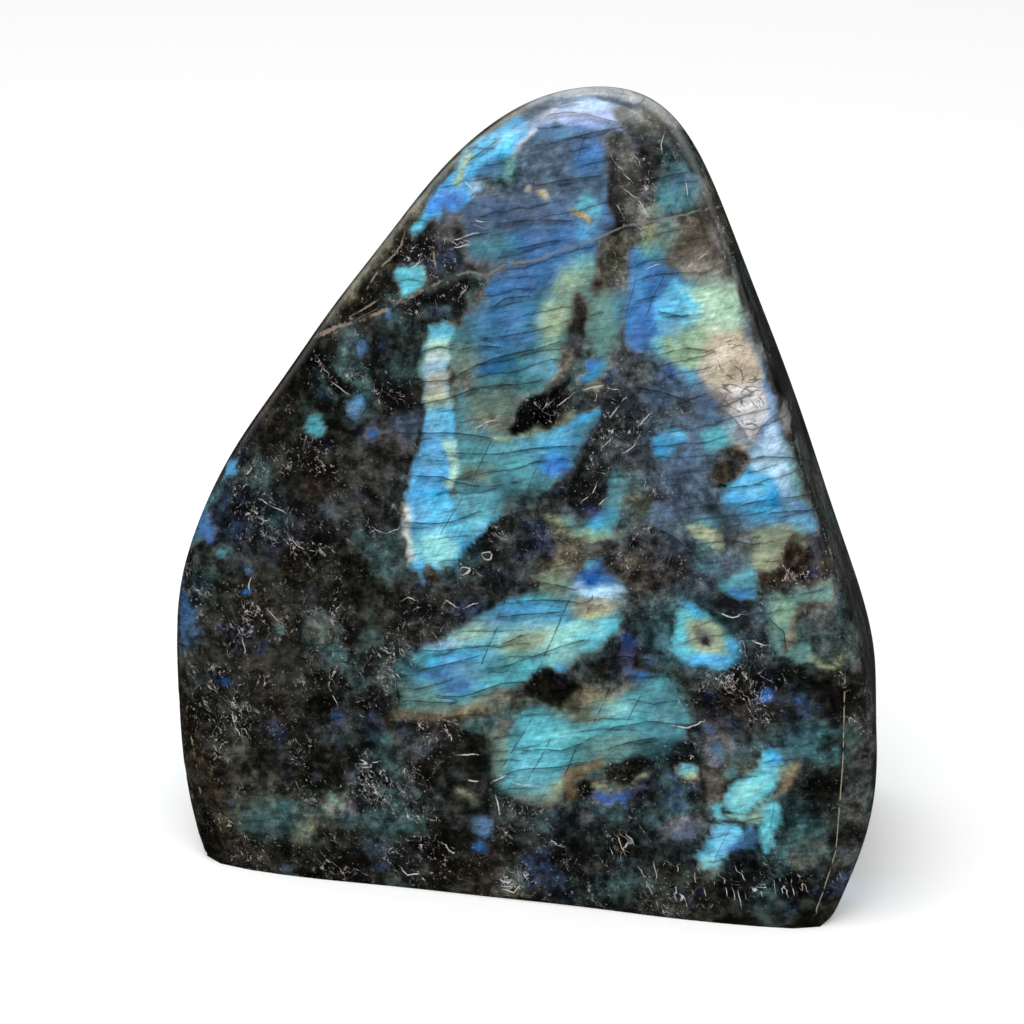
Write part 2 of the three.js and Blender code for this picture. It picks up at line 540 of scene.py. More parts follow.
# The field right of the blade, the black inclusion in it and the ring below.
FIELD: tuple[Patch, ...] = (
    area("field", Hue.TEAL, ((454, 332), (464, 318), (485, 306), (520, 298), (560, 296), (576, 304),
        (572, 340), (562, 366), (548, 390), (530, 398), (512, 414), (508, 432), (540, 434), (560, 426),
        (580, 414), (600, 410), (594, 424), (584, 440), (568, 470), (545, 490), (520, 506), (500, 518),
        (480, 520), (458, 512), (456, 455), (457, 430), (453, 400), (451, 360))),
    oval("field grey", Hue.SAGE, 468, 360, 15, 18, 0, 9, 0.6),
    *ovals("denim spots", Hue.DENIM, (506, 318, 34, 14, -10, 10), (512, 340, 30, 9, -10, 8)),
    oval("field royal", Hue.ROYAL, 496, 364, 15, 6, -12, 6, 0.75),
    oval("field sky", Hue.SKY, 540, 368, 16, 12, 0, 7, 0.6),
    area("field gold", Hue.GOLD_GREEN, ((541, 306), (555, 298), (571, 304), (569, 324), (560, 340),
        (548, 340), (538, 328)), 6, 0.75),
    oval("field celadon", Hue.CELADON, 549, 350, 10, 9, 0, 6, 0.7),
    oval("field olive", Hue.SAGE, 492, 404, 26, 18, -12, 9, 0.6),
    oval("field tan", Hue.BRONZE, 496, 424, 26, 9, 8, 6, 0.45),
    band("field gold hem", Hue.GOLD_GREEN, ((490, 438), (515, 437), (545, 428), (572, 416)), 6, 4, 0.7),
    oval("field turquoise", Hue.TURQUOISE, 500, 462, 42, 12, -4, 8),
    oval("field sky low", Hue.SKY, 532, 446, 24, 8, -8, 7, 0.7),
    oval("field cobalt low", Hue.COBALT, 556, 464, 15, 12, 0, 5, 0.85),
    oval("field azure", Hue.AZURE, 562, 444, 18, 8, -12, 5),
    band("field arm", Hue.AZURE, ((560, 432), (580, 420), (597, 414)), 9),
    oval("field olive low", Hue.LICHEN, 477, 474, 17, 9, 5),
    oval("field cyan low", Hue.CYAN, 474, 500, 20, 12, -8, 7, 0.6),
    oval("field dim", Hue.DEEP_TEAL, 520, 498, 18, 8, -35, 7, 0.7),
    area("black inclusion", Hue.INK, ((510, 430), (513, 415), (522, 406), (533, 391), (543, 396), (552, 392),
        (565, 374), (572, 379), (563, 394), (568, 402), (558, 414), (552, 428), (540, 424), (530, 432),
        (517, 432)), 2.5),
    band("grey column shade", Hue.SMOKE, ((577, 300), (574, 330), (566, 355), (556, 380)), 11, 4, 0.95),
    area("column", Hue.SEA, ((586, 296), (600, 290), (616, 288), (618, 318), (616, 352), (600, 353),
        (588, 346), (585, 322)), 5, 0.85),
    oval("column cobalt", Hue.COBALT, 594, 365, 8, 8, 0, 4, 0.8),
    oval("column sky", Hue.AZURE, 590, 378, 14, 5, -22, 4, 0.8),
    oval("column cyan", Hue.TURQUOISE, 603, 366, 6, 12, 0, 4, 0.7),
    oval("gold lens", Hue.SAGE, 596, 387, 10, 4, -10, 3),
    oval("dark lens", Hue.NIGHT, 609, 378, 5, 10, 0, 4, 0.8),
    area("dark slope", Hue.COAL, ((584, 446), (606, 420), (630, 400), (640, 440), (606, 470), (584, 492),
        (560, 520), (520, 545), (490, 556), (504, 526), (540, 500), (566, 478)), 6, 0.9),
    oval("dark slope ink", Hue.INK, 580, 466, 3, 12, 25, 3),
    area("ring", Hue.TURQUOISE, ((548, 516), (566, 512), (580, 524), (600, 520), (606, 500), (604, 478),
        (616, 472), (622, 490), (616, 520), (612, 540), (590, 540), (566, 530)), 5, 0.85),
    oval("ring heart", Hue.SOOT, 585, 494, 19, 17, 0, 5),
    oval("ring indigo", Hue.INDIGO, 590, 512, 18, 6, 5, 4, 0.8),
    oval("ring gold", Hue.GOLD_GREEN, 556, 519, 10, 6, 20, 4, 0.8),
    oval("ring azure", Hue.AZURE, 598, 522, 12, 5, -15, 4, 0.7),
    oval("ring celadon", Hue.CELADON, 592, 536, 22, 5, 0, 4, 0.7),
    oval("teal right of the ring", Hue.SEA, 632, 476, 10, 8, 0, 5, 0.8),
    oval("olive right of the ring", Hue.LICHEN, 636, 505, 16, 15),
    oval("cyan right of the ring", Hue.TURQUOISE, 618, 482, 9, 18, 0, 5, 0.6),
)

# The flash along the right slope: blue, mint, tan, pearl, and blue again.
RIGHT_FLASH: tuple[Patch, ...] = (
    area("right flash", Hue.STEEL, ((630, 252), (650, 244), (672, 268), (690, 284), (735, 280), (748, 310),
        (763, 362), (777, 412), (796, 470), (818, 534), (790, 540), (745, 524), (722, 500), (735, 478),
        (748, 462), (742, 436), (715, 402), (690, 390), (665, 372), (655, 352), (628, 350), (626, 310))),
    oval("right glow", Hue.AZURE, 676, 304, 30, 26, 0, 14),
    oval("right warm", Hue.CELADON, 712, 312, 34, 32, 20, 12),
    oval("right pale", Hue.CREAM, 728, 360, 28, 36, -20, 12, 0.8),
    oval("right violet", Hue.LAVENDER, 752, 410, 24, 34, -25, 12, 0.7),
    area("azure strip", Hue.DENIM, ((634, 250), (650, 245), (661, 262), (669, 276), (664, 300), (656, 320),
        (658, 346), (640, 353), (626, 340), (628, 310), (632, 285), (636, 265)), 4),
    oval("azure strip top", Hue.TURQUOISE, 650, 252, 12, 9, 0, 5, 0.8),
    oval("azure strip mid", Hue.AZURE, 640, 285, 7, 18, 12, 5, 0.5),
    area("right sky", Hue.SKY, ((662, 290), (676, 282), (690, 285), (695, 300), (706, 308), (700, 320),
        (676, 330), (660, 334), (655, 320), (656, 306))),
    oval("right steel", Hue.STEEL, 676, 326, 18, 7, -6, 6, 0.6),
    area("right mint", Hue.MINT, ((684, 287), (700, 289), (722, 285), (735, 290), (743, 306), (741, 322),
        (722, 328), (706, 320), (700, 306), (690, 297)), 5, 0.9),
    oval("right celadon", Hue.CELADON, 731, 291, 10, 9, 0, 5, 0.8),
    area("right green", Hue.CELADON, ((656, 338), (680, 328), (702, 331), (713, 340), (709, 352), (704, 364),
        (692, 375), (672, 367), (660, 352))),
    oval("right turquoise", Hue.CYAN, 660, 344, 6, 13, 0, 5, 0.7),
    oval("right cyan tip", Hue.SKY, 687, 374, 9, 5, 25, 4),
    area("right tan", Hue.TAN, ((705, 343), (722, 332), (742, 325), (751, 345), (759, 365), (763, 381),
        (745, 385), (724, 389), (708, 385), (698, 376), (704, 363), (700, 352)), 4),
    *ovals("cream spots", Hue.CREAM, (731, 352, 18, 12, -10, 7, 0.6), (709, 366, 10, 6, 0, 4, 0.7)),
    area("right pearl", Hue.BLUSH, ((711, 388), (735, 386), (761, 380), (769, 396), (774, 411), (766, 425),
        (752, 441), (745, 432), (730, 418), (718, 405)), 4),
    oval("right pale", Hue.PEARL, 752, 412, 14, 12, 0, 6, 0.7),
    oval("right tan edge", Hue.BRONZE, 719, 401, 5, 12, -20, 4, 0.6),
    oval("right slate", Hue.STEEL, 768, 400, 4, 15, -15, 3, 0.7),
    area("right ice low", Hue.ICE, ((756, 450), (764, 434), (774, 418), (780, 440), (787, 465), (794, 487),
        (781, 491), (770, 478), (756, 470), (747, 463)), 4),
    area("right azure", Hue.AZURE, ((727, 489), (738, 478), (750, 466), (764, 470), (779, 490), (777, 502),
        (766, 515), (750, 519), (737, 509), (724, 500)), 3.5),
    oval("right low light", Hue.SKY, 752, 484, 24, 13, -14, 5, 0.6),
    oval("right low azure", Hue.AZURE, 776, 516, 40, 14, 6, 8, 0.75),
    band("right teal edge", Hue.SEA, ((781, 440), (795, 480), (808, 515)), 10, 4, 0.7),
    area("right blue", Hue.STEEL, ((776, 508), (800, 500), (812, 515), (818, 533), (802, 532), (780, 524)), 5,
        0.9),
    oval("right sky low", Hue.SKY, 798, 524, 14, 9, 0, 6, 0.6),
    oval("right milk", Hue.ICE, 780, 462, 10, 26, -16, 7, 0.65),
    band("right dark edge", Hue.SOOT, ((738, 262), (756, 308), (774, 356), (790, 404), (798, 428)), 18, 5,
        0.95),
    band("right teal strip", Hue.TEAL, ((804, 444), (820, 488), (835, 530)), 12, 5, 0.7),
    oval("right grey edge", Hue.SMOKE, 756, 336, 8, 22, -20, 6, 0.7),
    oval("right sliver", Hue.FOG, 786, 412, 4, 16, -8, 3),
    oval("indigo notch", Hue.INDIGO, 667, 374, 8, 9, 0, 5, 0.7),
    band("slate band", Hue.STORM, ((710, 402), (697, 424), (692, 450), (676, 472)), 14, 6, 0.65),
    area("small azure", Hue.AZURE, ((653, 440), (666, 430), (684, 431), (687, 440), (676, 449), (664, 459),
        (654, 452)), 4, 0.85),
    oval("small sky", Hue.SKY, 676, 434, 8, 4, 0, 3, 0.8),
    area("small green", Hue.TURQUOISE, ((700, 433), (716, 424), (730, 421), (737, 432), (739, 443),
        (724, 449), (708, 447)), 4, 0.9),
    area("brown blob", Hue.UMBER, ((717, 468), (730, 456), (744, 450), (752, 460), (743, 472), (728, 486),
        (716, 487), (710, 478)), 3.6),
)

# Below it: a gold patch, a green one, the eye and the brow.
LOWER_RIGHT: tuple[Patch, ...] = (
    oval("blue haze", Hue.SLATE, 740, 548, 70, 34, 10, 16, 0.7),
    *ovals("deep teal spots", Hue.DEEP_TEAL, (800, 626, 40, 46, 0, 12, 0.7), (690, 636, 56, 38, 20, 14, 0.7)),
    oval("blue left of gold", Hue.STEEL, 661, 512, 14, 11, 0, 7, 0.6),
    area("gold patch", Hue.GOLD_GREEN, ((686, 521), (702, 521), (718, 534), (725, 545), (717, 553),
        (704, 543), (690, 533)), 3.6, 0.8),
    oval("gold cyan", Hue.TURQUOISE, 708, 520, 12, 4, 0, 4, 0.7),
    oval("coal patch", Hue.COAL, 736, 542, 12, 10, 0, 5, 0.8),
    area("green patch", Hue.SAGE, ((754, 532), (775, 525), (802, 528), (788, 545), (781, 560), (770, 571),
        (756, 575), (750, 560)), 3.6, 0.9),
    oval("green gold", Hue.GOLD_GREEN, 764, 560, 7, 10, 0, 5, 0.5),
    area("brown flank", Hue.UMBER, ((780, 551), (796, 535), (815, 538), (830, 555), (839, 580), (820, 577),
        (800, 582), (785, 592), (762, 591), (757, 576), (775, 568)), 3.4),
    oval("night arc", Hue.NIGHT, 698, 552, 18, 9, 20, 6, 0.8),
    oval("cyan arc", Hue.TEAL, 707, 563, 14, 7, 15, 5, 0.8),
    oval("ink hole", Hue.INK, 633, 546, 4, 11, 22, 3),
    area("pale blue patch", Hue.TURQUOISE, ((722, 577), (735, 571), (755, 565), (758, 590), (752, 601),
        (735, 597), (721, 590)), 3.4, 0.85),
    oval("pale blue cobalt", Hue.COBALT, 740, 592, 11, 5, 8, 4, 0.8),
    area("brow", Hue.SEA, ((764, 602), (790, 598), (806, 590), (815, 580), (830, 583), (833, 600), (826, 606),
        (812, 601), (800, 607), (795, 616), (791, 630), (791, 648), (801, 641), (813, 646), (811, 661),
        (795, 665), (780, 656), (771, 640), (767, 620)), 3.6, 0.9),
    oval("brow celadon", Hue.CELADON, 782, 612, 10, 14, 0, 6, 0.7),
    band("brow gold", Hue.BRONZE, ((810, 602), (798, 611), (793, 628), (787, 646)), 7, 4, 0.85),
    area("brow heart", Hue.SMOKE, ((800, 607), (820, 602), (838, 612), (843, 640), (831, 660), (818, 655),
        (812, 636), (802, 626)), 6, 0.9),
    band("brow hem", Hue.GOLD_GREEN, ((812, 658), (822, 668), (835, 668), (843, 660)), 6, 4, 0.7),
    area("eye", Hue.CYAN, ((672, 631), (680, 614), (690, 606), (703, 611), (716, 620), (728, 633), (739, 645),
        (739, 656), (725, 665), (710, 668), (694, 664), (680, 658), (671, 648)), 3.5),
    oval("eye dim", Hue.DEEP_TEAL, 726, 626, 16, 10, 40, 5, 0.85),
    oval("eye gold", Hue.GOLD_GREEN, 704, 637, 22, 15, 35, 5, 0.85),
    oval("eye fog", Hue.FOG, 703, 636, 12, 8, 35, 4, 0.95),
    oval("eye heart", Hue.SOOT, 706, 640, 4, 3, 0, 3),
    *ovals("azure spots", Hue.AZURE, (692, 608, 13, 4, 25, 3, 0.8), (714, 660, 25, 7, -2, 4, 0.95), (733, 646,
        8, 8, 0, 4, 0.8)),
    oval("blue left of the eye", Hue.STEEL, 660, 640, 6, 9, 0, 5, 0.6),
    area("indigo stripe", Hue.INDIGO, ((617, 633), (630, 629), (635, 645), (633, 660), (627, 673),
        (617, 662)), 4),
    *ovals("cobalt spots", Hue.COBALT, (637, 676, 13, 9, 20, 5, 0.7), (766, 696, 9, 7, -20, 4)),
    oval("violet glint", Hue.STORM, 752, 692, 8, 6, 0, 4, 0.5),
    oval("royal glint", Hue.ROYAL, 800, 700, 4, 6, 0, 3, 0.7),
    oval("steel glint", Hue.DENIM, 768, 678, 6, 6, 0, 4, 0.8),
    oval("ink under the brow", Hue.INK, 800, 682, 34, 8, 3, 6, 0.7),
)

# The long lower flash, and the black hole at its lower edge.
LOWER_FLASH: tuple[Patch, ...] = (
    area("lower under", Hue.TEAL, ((400, 664), (425, 648), (452, 632), (478, 622), (495, 606), (525, 596),
        (556, 584), (575, 572), (600, 568), (622, 582), (625, 604), (618, 626), (598, 650), (566, 668),
        (532, 684), (510, 702), (470, 712), (420, 718), (400, 706)), 7, 0.9),
    oval("lower halo", Hue.LICHEN, 440, 712, 44, 10, 2, 8, 0.7),
    oval("lower night", Hue.INDIGO, 466, 612, 18, 9, -20, 7, 0.6),
    area("olive above", Hue.LICHEN, ((546, 567), (556, 552), (575, 546), (596, 556), (590, 572), (575, 583),
        (560, 586), (544, 580)), 6, 0.9),
    oval("sage above", Hue.SAGE, 560, 572, 14, 9, 0, 6, 0.7),
    area("royal above", Hue.ROYAL, ((574, 584), (584, 566), (594, 555), (601, 560), (605, 572), (618, 578),
        (600, 586), (585, 591)), 6, 0.9),
    oval("cyan above", Hue.CYAN, 591, 563, 6, 6, 0, 4, 0.8),
    area("ice above", Hue.ICE, ((573, 593), (600, 584), (618, 582), (624, 592), (611, 598), (585, 599)), 3.5),
    oval("grey above", Hue.SAGE, 556, 588, 16, 10, -10, 7),
    oval("white above", Hue.ICE, 580, 588, 7, 9, 20, 4, 0.8),
    area("tan above", Hue.TAN, ((568, 601), (580, 598), (612, 598), (624, 600), (621, 611), (604, 616),
        (584, 614), (570, 609)), 4, 0.85),
    oval("mint above", Hue.GOLD_GREEN, 586, 615, 20, 4, -4, 3, 0.8),
    area("lower flash", Hue.CYAN, ((484, 618), (500, 604), (520, 599), (545, 599), (560, 606), (575, 617),
        (600, 619), (620, 622), (613, 633), (597, 649), (580, 653), (567, 660), (560, 669), (545, 669),
        (535, 673), (526, 683), (510, 687), (490, 693), (470, 699), (455, 701), (445, 696), (430, 691),
        (418, 681), (408, 672), (402, 664), (425, 650), (440, 640), (465, 628)), 4),
    oval("lower azure top", Hue.AZURE, 530, 608, 36, 7, -4, 5, 0.7),
    *ovals("mint spots", Hue.MINT, (476, 631, 26, 9, -28), (560, 636, 34, 9, -20, 6, 0.8)),
    oval("lower lilac", Hue.LAVENDER, 442, 645, 16, 5, -8, 5, 0.6),
    oval("lower straw mid", Hue.STRAW, 522, 638, 30, 13, -22, 8, 0.5),
    oval("lower olive", Hue.SAGE, 526, 643, 22, 11, -22, 7, 0.85),
    oval("lower azure", Hue.AZURE, 456, 658, 30, 8, -8, 6, 0.8),
    oval("lower denim", Hue.STEEL, 456, 673, 30, 11, -4, 7, 0.7),
    oval("lower cobalt", Hue.DENIM, 462, 686, 18, 9, -4, 6, 0.85),
    oval("lower aqua", Hue.AQUA, 562, 640, 26, 12, -28, 7, 0.8),
    oval("lower teal", Hue.DEEP_TEAL, 410, 668, 14, 8, 8, 5, 0.85),
    *ovals("denim spots", Hue.DENIM, (506, 616, 26, 7, -14, 7, 0.7), (552, 618, 22, 5, -8, 6, 0.6), (436, 676,
        16, 8, -6, 7, 0.8)),
    oval("lower dusk", Hue.TEAL, 496, 668, 22, 8, -10, 8, 0.8),
    oval("lower moss", Hue.SAGE, 566, 656, 18, 6, -28, 6, 0.6),
    area("lower sea", Hue.SEA, ((400, 692), (425, 685), (455, 701), (492, 698), (482, 709), (440, 712),
        (403, 709))),
    band("lower bronze", Hue.BRONZE, ((404, 714), (430, 718), (456, 714), (480, 706)), 9, 5, 0.7),
    oval("lower lavender", Hue.SMOKE, 424, 735, 22, 13, 0, 8, 0.8),
    oval("lower slate", Hue.STORM, 420, 747, 8, 9, 0, 5, 0.45),
    oval("lower brown", Hue.BRONZE, 506, 695, 26, 6, -4, 5, 0.7),
    oval("hole rim", Hue.MOSS, 556, 696, 44, 22, 0, 10, 0.8),
    area("hole", Hue.SOOT, ((526, 686), (534, 675), (550, 669), (567, 676), (577, 685), (572, 698),
        (556, 703), (540, 701), (528, 697)), 3.5),
    oval("hole blue", Hue.AZURE, 563, 669, 7, 7, 0, 4, 0.75),
    area("hole olive", Hue.LICHEN, ((572, 690), (590, 684), (606, 690), (604, 706), (590, 716), (572, 717),
        (560, 715))),
    band("hole gold", Hue.GOLD, ((548, 712), (562, 718), (582, 720), (600, 713)), 7, 4, 0.8),
    oval("black right of the hole", Hue.SOOT, 592, 665, 20, 9, -20, 5),
)

# The second flash below it, and the dark oval beside it.
SECOND_FLASH: tuple[Patch, ...] = (
    area("second under", Hue.TEAL, ((490, 764), (498, 736), (512, 718), (540, 706), (580, 718), (600, 696),
        (640, 682), (662, 672), (684, 694), (704, 724), (690, 748), (656, 768), (606, 774), (570, 786),
        (560, 802), (520, 806), (496, 790)), 9, 0.85),
    area("second flash", Hue.TURQUOISE, ((497, 760), (502, 742), (508, 728), (520, 718), (535, 711),
        (552, 717), (570, 724), (590, 722), (600, 706), (620, 698), (640, 690), (656, 680), (668, 690),
        (680, 700), (690, 714), (696, 724), (682, 735), (660, 748), (640, 757), (620, 760), (606, 758),
        (590, 758), (575, 768), (562, 780), (556, 796), (530, 799), (505, 792), (498, 775)), 4),
    oval("second green edge", Hue.SAGE, 501, 755, 7, 26, 4, 5, 0.85),
    oval("second cyan", Hue.CYAN, 536, 752, 28, 20, -10, 9, 0.85),
    *ovals("aqua spots", Hue.AQUA, (562, 735, 24, 6, -6, 6, 0.4), (620, 709, 16, 6, -15, 6, 0.6)),
    oval("second gold", Hue.GOLD_GREEN, 611, 698, 10, 5, -25, 4, 0.6),
    *ovals("deep teal spots", Hue.DEEP_TEAL, (668, 748, 36, 14, -25, 14, 0.7), (506, 728, 14, 12, 30, 8,
        0.7)),
    oval("second smooth", Hue.TEAL, 664, 718, 24, 26, 0, 14, 0.85),
    *ovals("lichen spots", Hue.LICHEN, (612, 748, 34, 14, -10, 9, 0.55), (540, 794, 26, 6, 0, 6, 0.6)),
    oval("second brow", Hue.BRONZE, 592, 716, 18, 5, -20, 5, 0.55),
    area("second bronze", Hue.BRONZE, ((558, 777), (572, 765), (590, 760), (604, 757), (607, 764), (590, 772),
        (575, 781), (562, 790)), 4, 0.9),
    oval("second tan", Hue.GOLD_GREEN, 556, 790, 6, 12, 20, 4, 0.7),
    area("oval shade", Hue.COAL, ((601, 771), (615, 761), (640, 758), (657, 760), (651, 775), (630, 783),
        (608, 781)), 4),
    oval("oval heart", Hue.SOOT, 626, 769, 18, 7, -5, 5, 0.8),
    band("oval gold", Hue.GOLD_GREEN, ((590, 783), (606, 790), (627, 788), (646, 776)), 7, 5, 0.7),
    band("oval blue", Hue.ROYAL, ((590, 793), (608, 800), (632, 797), (648, 786)), 9, 4, 0.75),
    oval("oval knot", Hue.INK, 587, 788, 9, 8, 0, 4),
    oval("oval tan", Hue.BRONZE, 571, 790, 6, 8, 0, 4, 0.8),
    area("brown gap", Hue.SOOT, ((690, 736), (705, 741), (690, 770), (665, 801), (640, 806), (630, 801),
        (652, 780), (672, 755))),
    oval("cyan spot", Hue.CYAN, 686, 772, 9, 9, 0, 3),
    oval("gold spot", Hue.GOLD_GREEN, 690, 778, 7, 5, -20, 3, 0.85),
)

# The broken flash in the lower right corner.
CORNER: tuple[Patch, ...] = (
    area("violet head", Hue.DENIM, ((700, 726), (720, 717), (737, 722), (729, 745), (723, 765), (708, 767),
        (701, 745)), 5, 0.85),
    oval("night head", Hue.NIGHT, 727, 735, 8, 9, 0, 5, 0.8),
    area("fog flank", Hue.FOG, ((701, 771), (716, 768), (723, 785), (719, 801), (705, 801)), 4, 0.8),
    oval("teal head", Hue.TEAL, 736, 754, 16, 9, 0, 6, 0.7),
    oval("moss head", Hue.LICHEN, 750, 766, 13, 9, -20, 5, 0.8),
    area("teal wing", Hue.TEAL, ((774, 757), (790, 740), (805, 728), (825, 721), (843, 728), (841, 755),
        (826, 761), (812, 758), (798, 764), (784, 769)), 6, 0.75),
    oval("steel wing", Hue.STEEL, 796, 735, 10, 8, 0, 5, 0.5),
    oval("dark wing", Hue.SOOT, 826, 745, 8, 10, 25, 4),
    area("corner flash", Hue.CYAN, ((763, 752), (770, 747), (777, 760), (779, 775), (773, 790), (765, 799),
        (755, 807), (742, 813), (730, 813), (722, 800), (728, 790), (738, 782), (748, 778), (757, 768)), 3),
    oval("corner aqua", Hue.AQUA, 748, 793, 20, 10, -38, 6, 0.8),
    oval("corner azure", Hue.AZURE, 771, 759, 7, 11, 0, 4, 0.8),
    area("corner left", Hue.CYAN, ((711, 801), (721, 800), (723, 815), (717, 823), (711, 815)), 3, 0.9),
    oval("corner mid", Hue.AQUA, 738, 818, 18, 4, -4, 3, 0.8),
    oval("corner mint", Hue.MINT, 760, 814, 15, 6, -42, 4, 0.8),
    area("corner right", Hue.CYAN, ((764, 807), (779, 801), (780, 820), (775, 840), (770, 854), (763, 853),
        (762, 835)), 3),
    area("corner foot", Hue.SKY, ((711, 831), (722, 826), (738, 829), (741, 838), (731, 850), (727, 860),
        (716, 868), (704, 867), (695, 857), (706, 848)), 3),
    oval("corner spark", Hue.AQUA, 708, 861, 10, 5, -20, 3, 0.8),
    oval("corner toe", Hue.SEA, 713, 872, 10, 5, 0, 4, 0.8),
    *ovals("denim spots", Hue.DENIM, (752, 839, 9, 10, 0, 4), (684, 829, 22, 13, -10, 7, 0.55)),
    oval("corner royal", Hue.ROYAL, 737, 846, 9, 4, -25, 3, 0.8),
    oval("corner slit", Hue.NIGHT, 728, 812, 5, 3, 0, 2, 0.8),
    area("gold right", Hue.BRONZE, ((779, 771), (792, 764), (801, 769), (797, 782), (786, 793), (775, 797)),
        4),
    oval("green right", Hue.GOLD_GREEN, 786, 768, 8, 4, -20, 4, 0.7),
    oval("dark knee", Hue.SOOT, 818, 783, 20, 19, 0, 7),
    # Painted highlight: a pale streak on the rounded right edge where the polish catches the light.
    oval("edge highlight", Hue.FOG, 865, 774, 4, 22, 10, 4, 0.7),
    *ovals("teal spots", Hue.TEAL, (806, 836, 22, 28, 0, 10, 0.45), (800, 862, 11, 11, 0, 6, 0.45)),
    oval("night hem", Hue.INK, 752, 872, 26, 16, 0, 7, 0.8),
)

# Chips and hazes of the dark left flank.
FLANK: tuple[Patch, ...] = (
    area("black diagonal", Hue.INK, ((309, 366), (316, 350), (326, 356), (330, 370), (344, 378), (356, 384),
        (366, 394), (370, 402), (356, 400), (344, 394), (336, 398), (328, 386), (318, 372)), 2.5),
    oval("teal fleck", Hue.SEA, 343, 350, 5, 9, 20, 4, 0.7),
    oval("slate fleck", Hue.STORM, 349, 338, 10, 6, 0, 5, 0.5),
    oval("blue fleck", Hue.COBALT, 361, 347, 5, 8, 20, 4, 0.65),
    *ovals("royal spots", Hue.ROYAL, (382, 347, 6, 6, 0, 4, 0.55), (222, 680, 5, 5, 0, 3, 0.7)),
    oval("teal under the crack", Hue.DENIM, 390, 314, 4, 7, 0, 3, 0.8),
    area("flank cyan", Hue.TURQUOISE, ((307, 416), (315, 410), (323, 411), (325, 427), (322, 441), (316, 438),
        (308, 428)), 3),
    oval("flank dot", Hue.DENIM, 321, 395, 3, 5, 0, 3, 0.8),
    area("flank blue", Hue.STEEL, ((349, 402), (355, 392), (364, 393), (365, 411), (358, 421), (349, 418)),
        4),
    oval("flank chip", Hue.COBALT, 372, 433, 7, 9, 0, 4, 0.7),
    oval("flank sage", Hue.SEA, 331, 458, 6, 6, 0, 4, 0.6),
    area("edge azure", Hue.AZURE, ((221, 479), (229, 462), (238, 459), (239, 468), (230, 477)), 3, 0.85),
    band("edge rim", Hue.TURQUOISE, ((213, 497), (200, 522), (190, 548)), 8, 4, 0.7),
    area("edge cobalt", Hue.DENIM, ((197, 534), (202, 519), (210, 514), (216, 525), (212, 541), (204, 541)),
        3),
    area("edge ink", Hue.INK, ((213, 506), (230, 495), (246, 490), (241, 515), (225, 526), (213, 521)), 5,
        0.7),
    oval("flank pine", Hue.PINE, 271, 516, 16, 14, 0, 8, 0.8),
    *ovals("slate spots", Hue.SLATE, (326, 513, 10, 14, 0, 7, 0.5), (210, 673, 6, 6, 0, 4, 0.6)),
    oval("edge teal", Hue.TURQUOISE, 222, 552, 6, 8, 0, 4, 0.65),
    oval("edge sage", Hue.SAGE, 205, 551, 6, 6, 0, 4, 0.5),
    area("left rim blue", Hue.DENIM, ((178, 592), (184, 574), (189, 600), (198, 615), (196, 640), (184, 651),
        (178, 620)), 5, 0.7),
    oval("left teal", Hue.PINE, 203, 580, 14, 15, 0, 8, 0.8),
    oval("blue chip", Hue.STEEL, 247, 570, 3, 4, 0, 3),
    *ovals("cobalt spots", Hue.COBALT, (244, 590, 4, 3, 0, 2, 0.8), (337, 717, 3, 6, 0, 3, 0.7)),
    oval("white chip", Hue.FOG, 275, 618, 5, 13, -35, 3, 0.6),
    oval("ice chip", Hue.SEA, 280, 629, 4, 4, 0, 2, 0.8),
    area("flank teal", Hue.TEAL, ((303, 615), (315, 609), (332, 611), (343, 625), (336, 640), (322, 649),
        (308, 643), (299, 632)), 5, 0.62),
    oval("slate haze", Hue.SLATE, 330, 735, 14, 11, 0, 7, 0.4),
    oval("moss haze", Hue.MOSS, 232, 757, 12, 12, 0, 6, 0.8),
    oval("teal haze", Hue.DEEP_TEAL, 380, 745, 10, 10, 0, 6, 0.7),
)

# Chips and hazes along the foot.
FOOT: tuple[Patch, ...] = (
    oval("lichen foot", Hue.LICHEN, 258, 784, 16, 11, 0, 7, 0.7),
    area("teal foot", Hue.DEEP_TEAL, ((238, 802), (260, 790), (280, 800), (301, 810), (296, 830), (280, 846),
        (255, 846), (238, 826)), 8),
    oval("sea foot", Hue.SEA, 262, 822, 18, 14, 0, 9, 0.45),
    area("cyan foot", Hue.SEA, ((317, 801), (330, 787), (343, 794), (341, 810), (325, 813)), 5, 0.9),
    *ovals("sage spots", Hue.SAGE, (303, 833, 12, 17, 40, 6, 0.75), (313, 852, 9, 9, 0, 5, 0.45)),
    oval("azure foot", Hue.STEEL, 353, 780, 8, 9, 0, 4, 0.85),
    oval("royal foot", Hue.ROYAL, 352, 803, 4, 12, 15, 4, 0.7),
    oval("smoke foot", Hue.SMOKE, 405, 790, 14, 14, 0, 8, 0.5),
    area("gold chip", Hue.SAGE, ((453, 785), (464, 789), (478, 796), (484, 806), (470, 806), (457, 797)), 4,
        0.7),
    oval("blue chip", Hue.STEEL, 481, 827, 9, 15, 0, 4, 0.85),
    oval("cobalt chip", Hue.COBALT, 480, 848, 7, 5, 0, 3, 0.7),
    oval("slate chip", Hue.STORM, 551, 840, 5, 12, 0, 4, 0.5),
    *ovals("denim spots", Hue.DENIM, (585, 820, 8, 6, 0, 4, 0.5), (372, 845, 8, 10, 0, 5, 0.45)),
    oval("royal chip", Hue.ROYAL, 389, 850, 5, 6, 0, 3, 0.6),
    oval("ink foot", Hue.INK, 416, 860, 30, 20, 0, 8, 0.7),
    oval("tan foot", Hue.BRONZE, 511, 886, 10, 11, 0, 5, 0.65),
    oval("fog foot", Hue.FOG, 421, 869, 8, 9, 0, 4, 0.4),
)
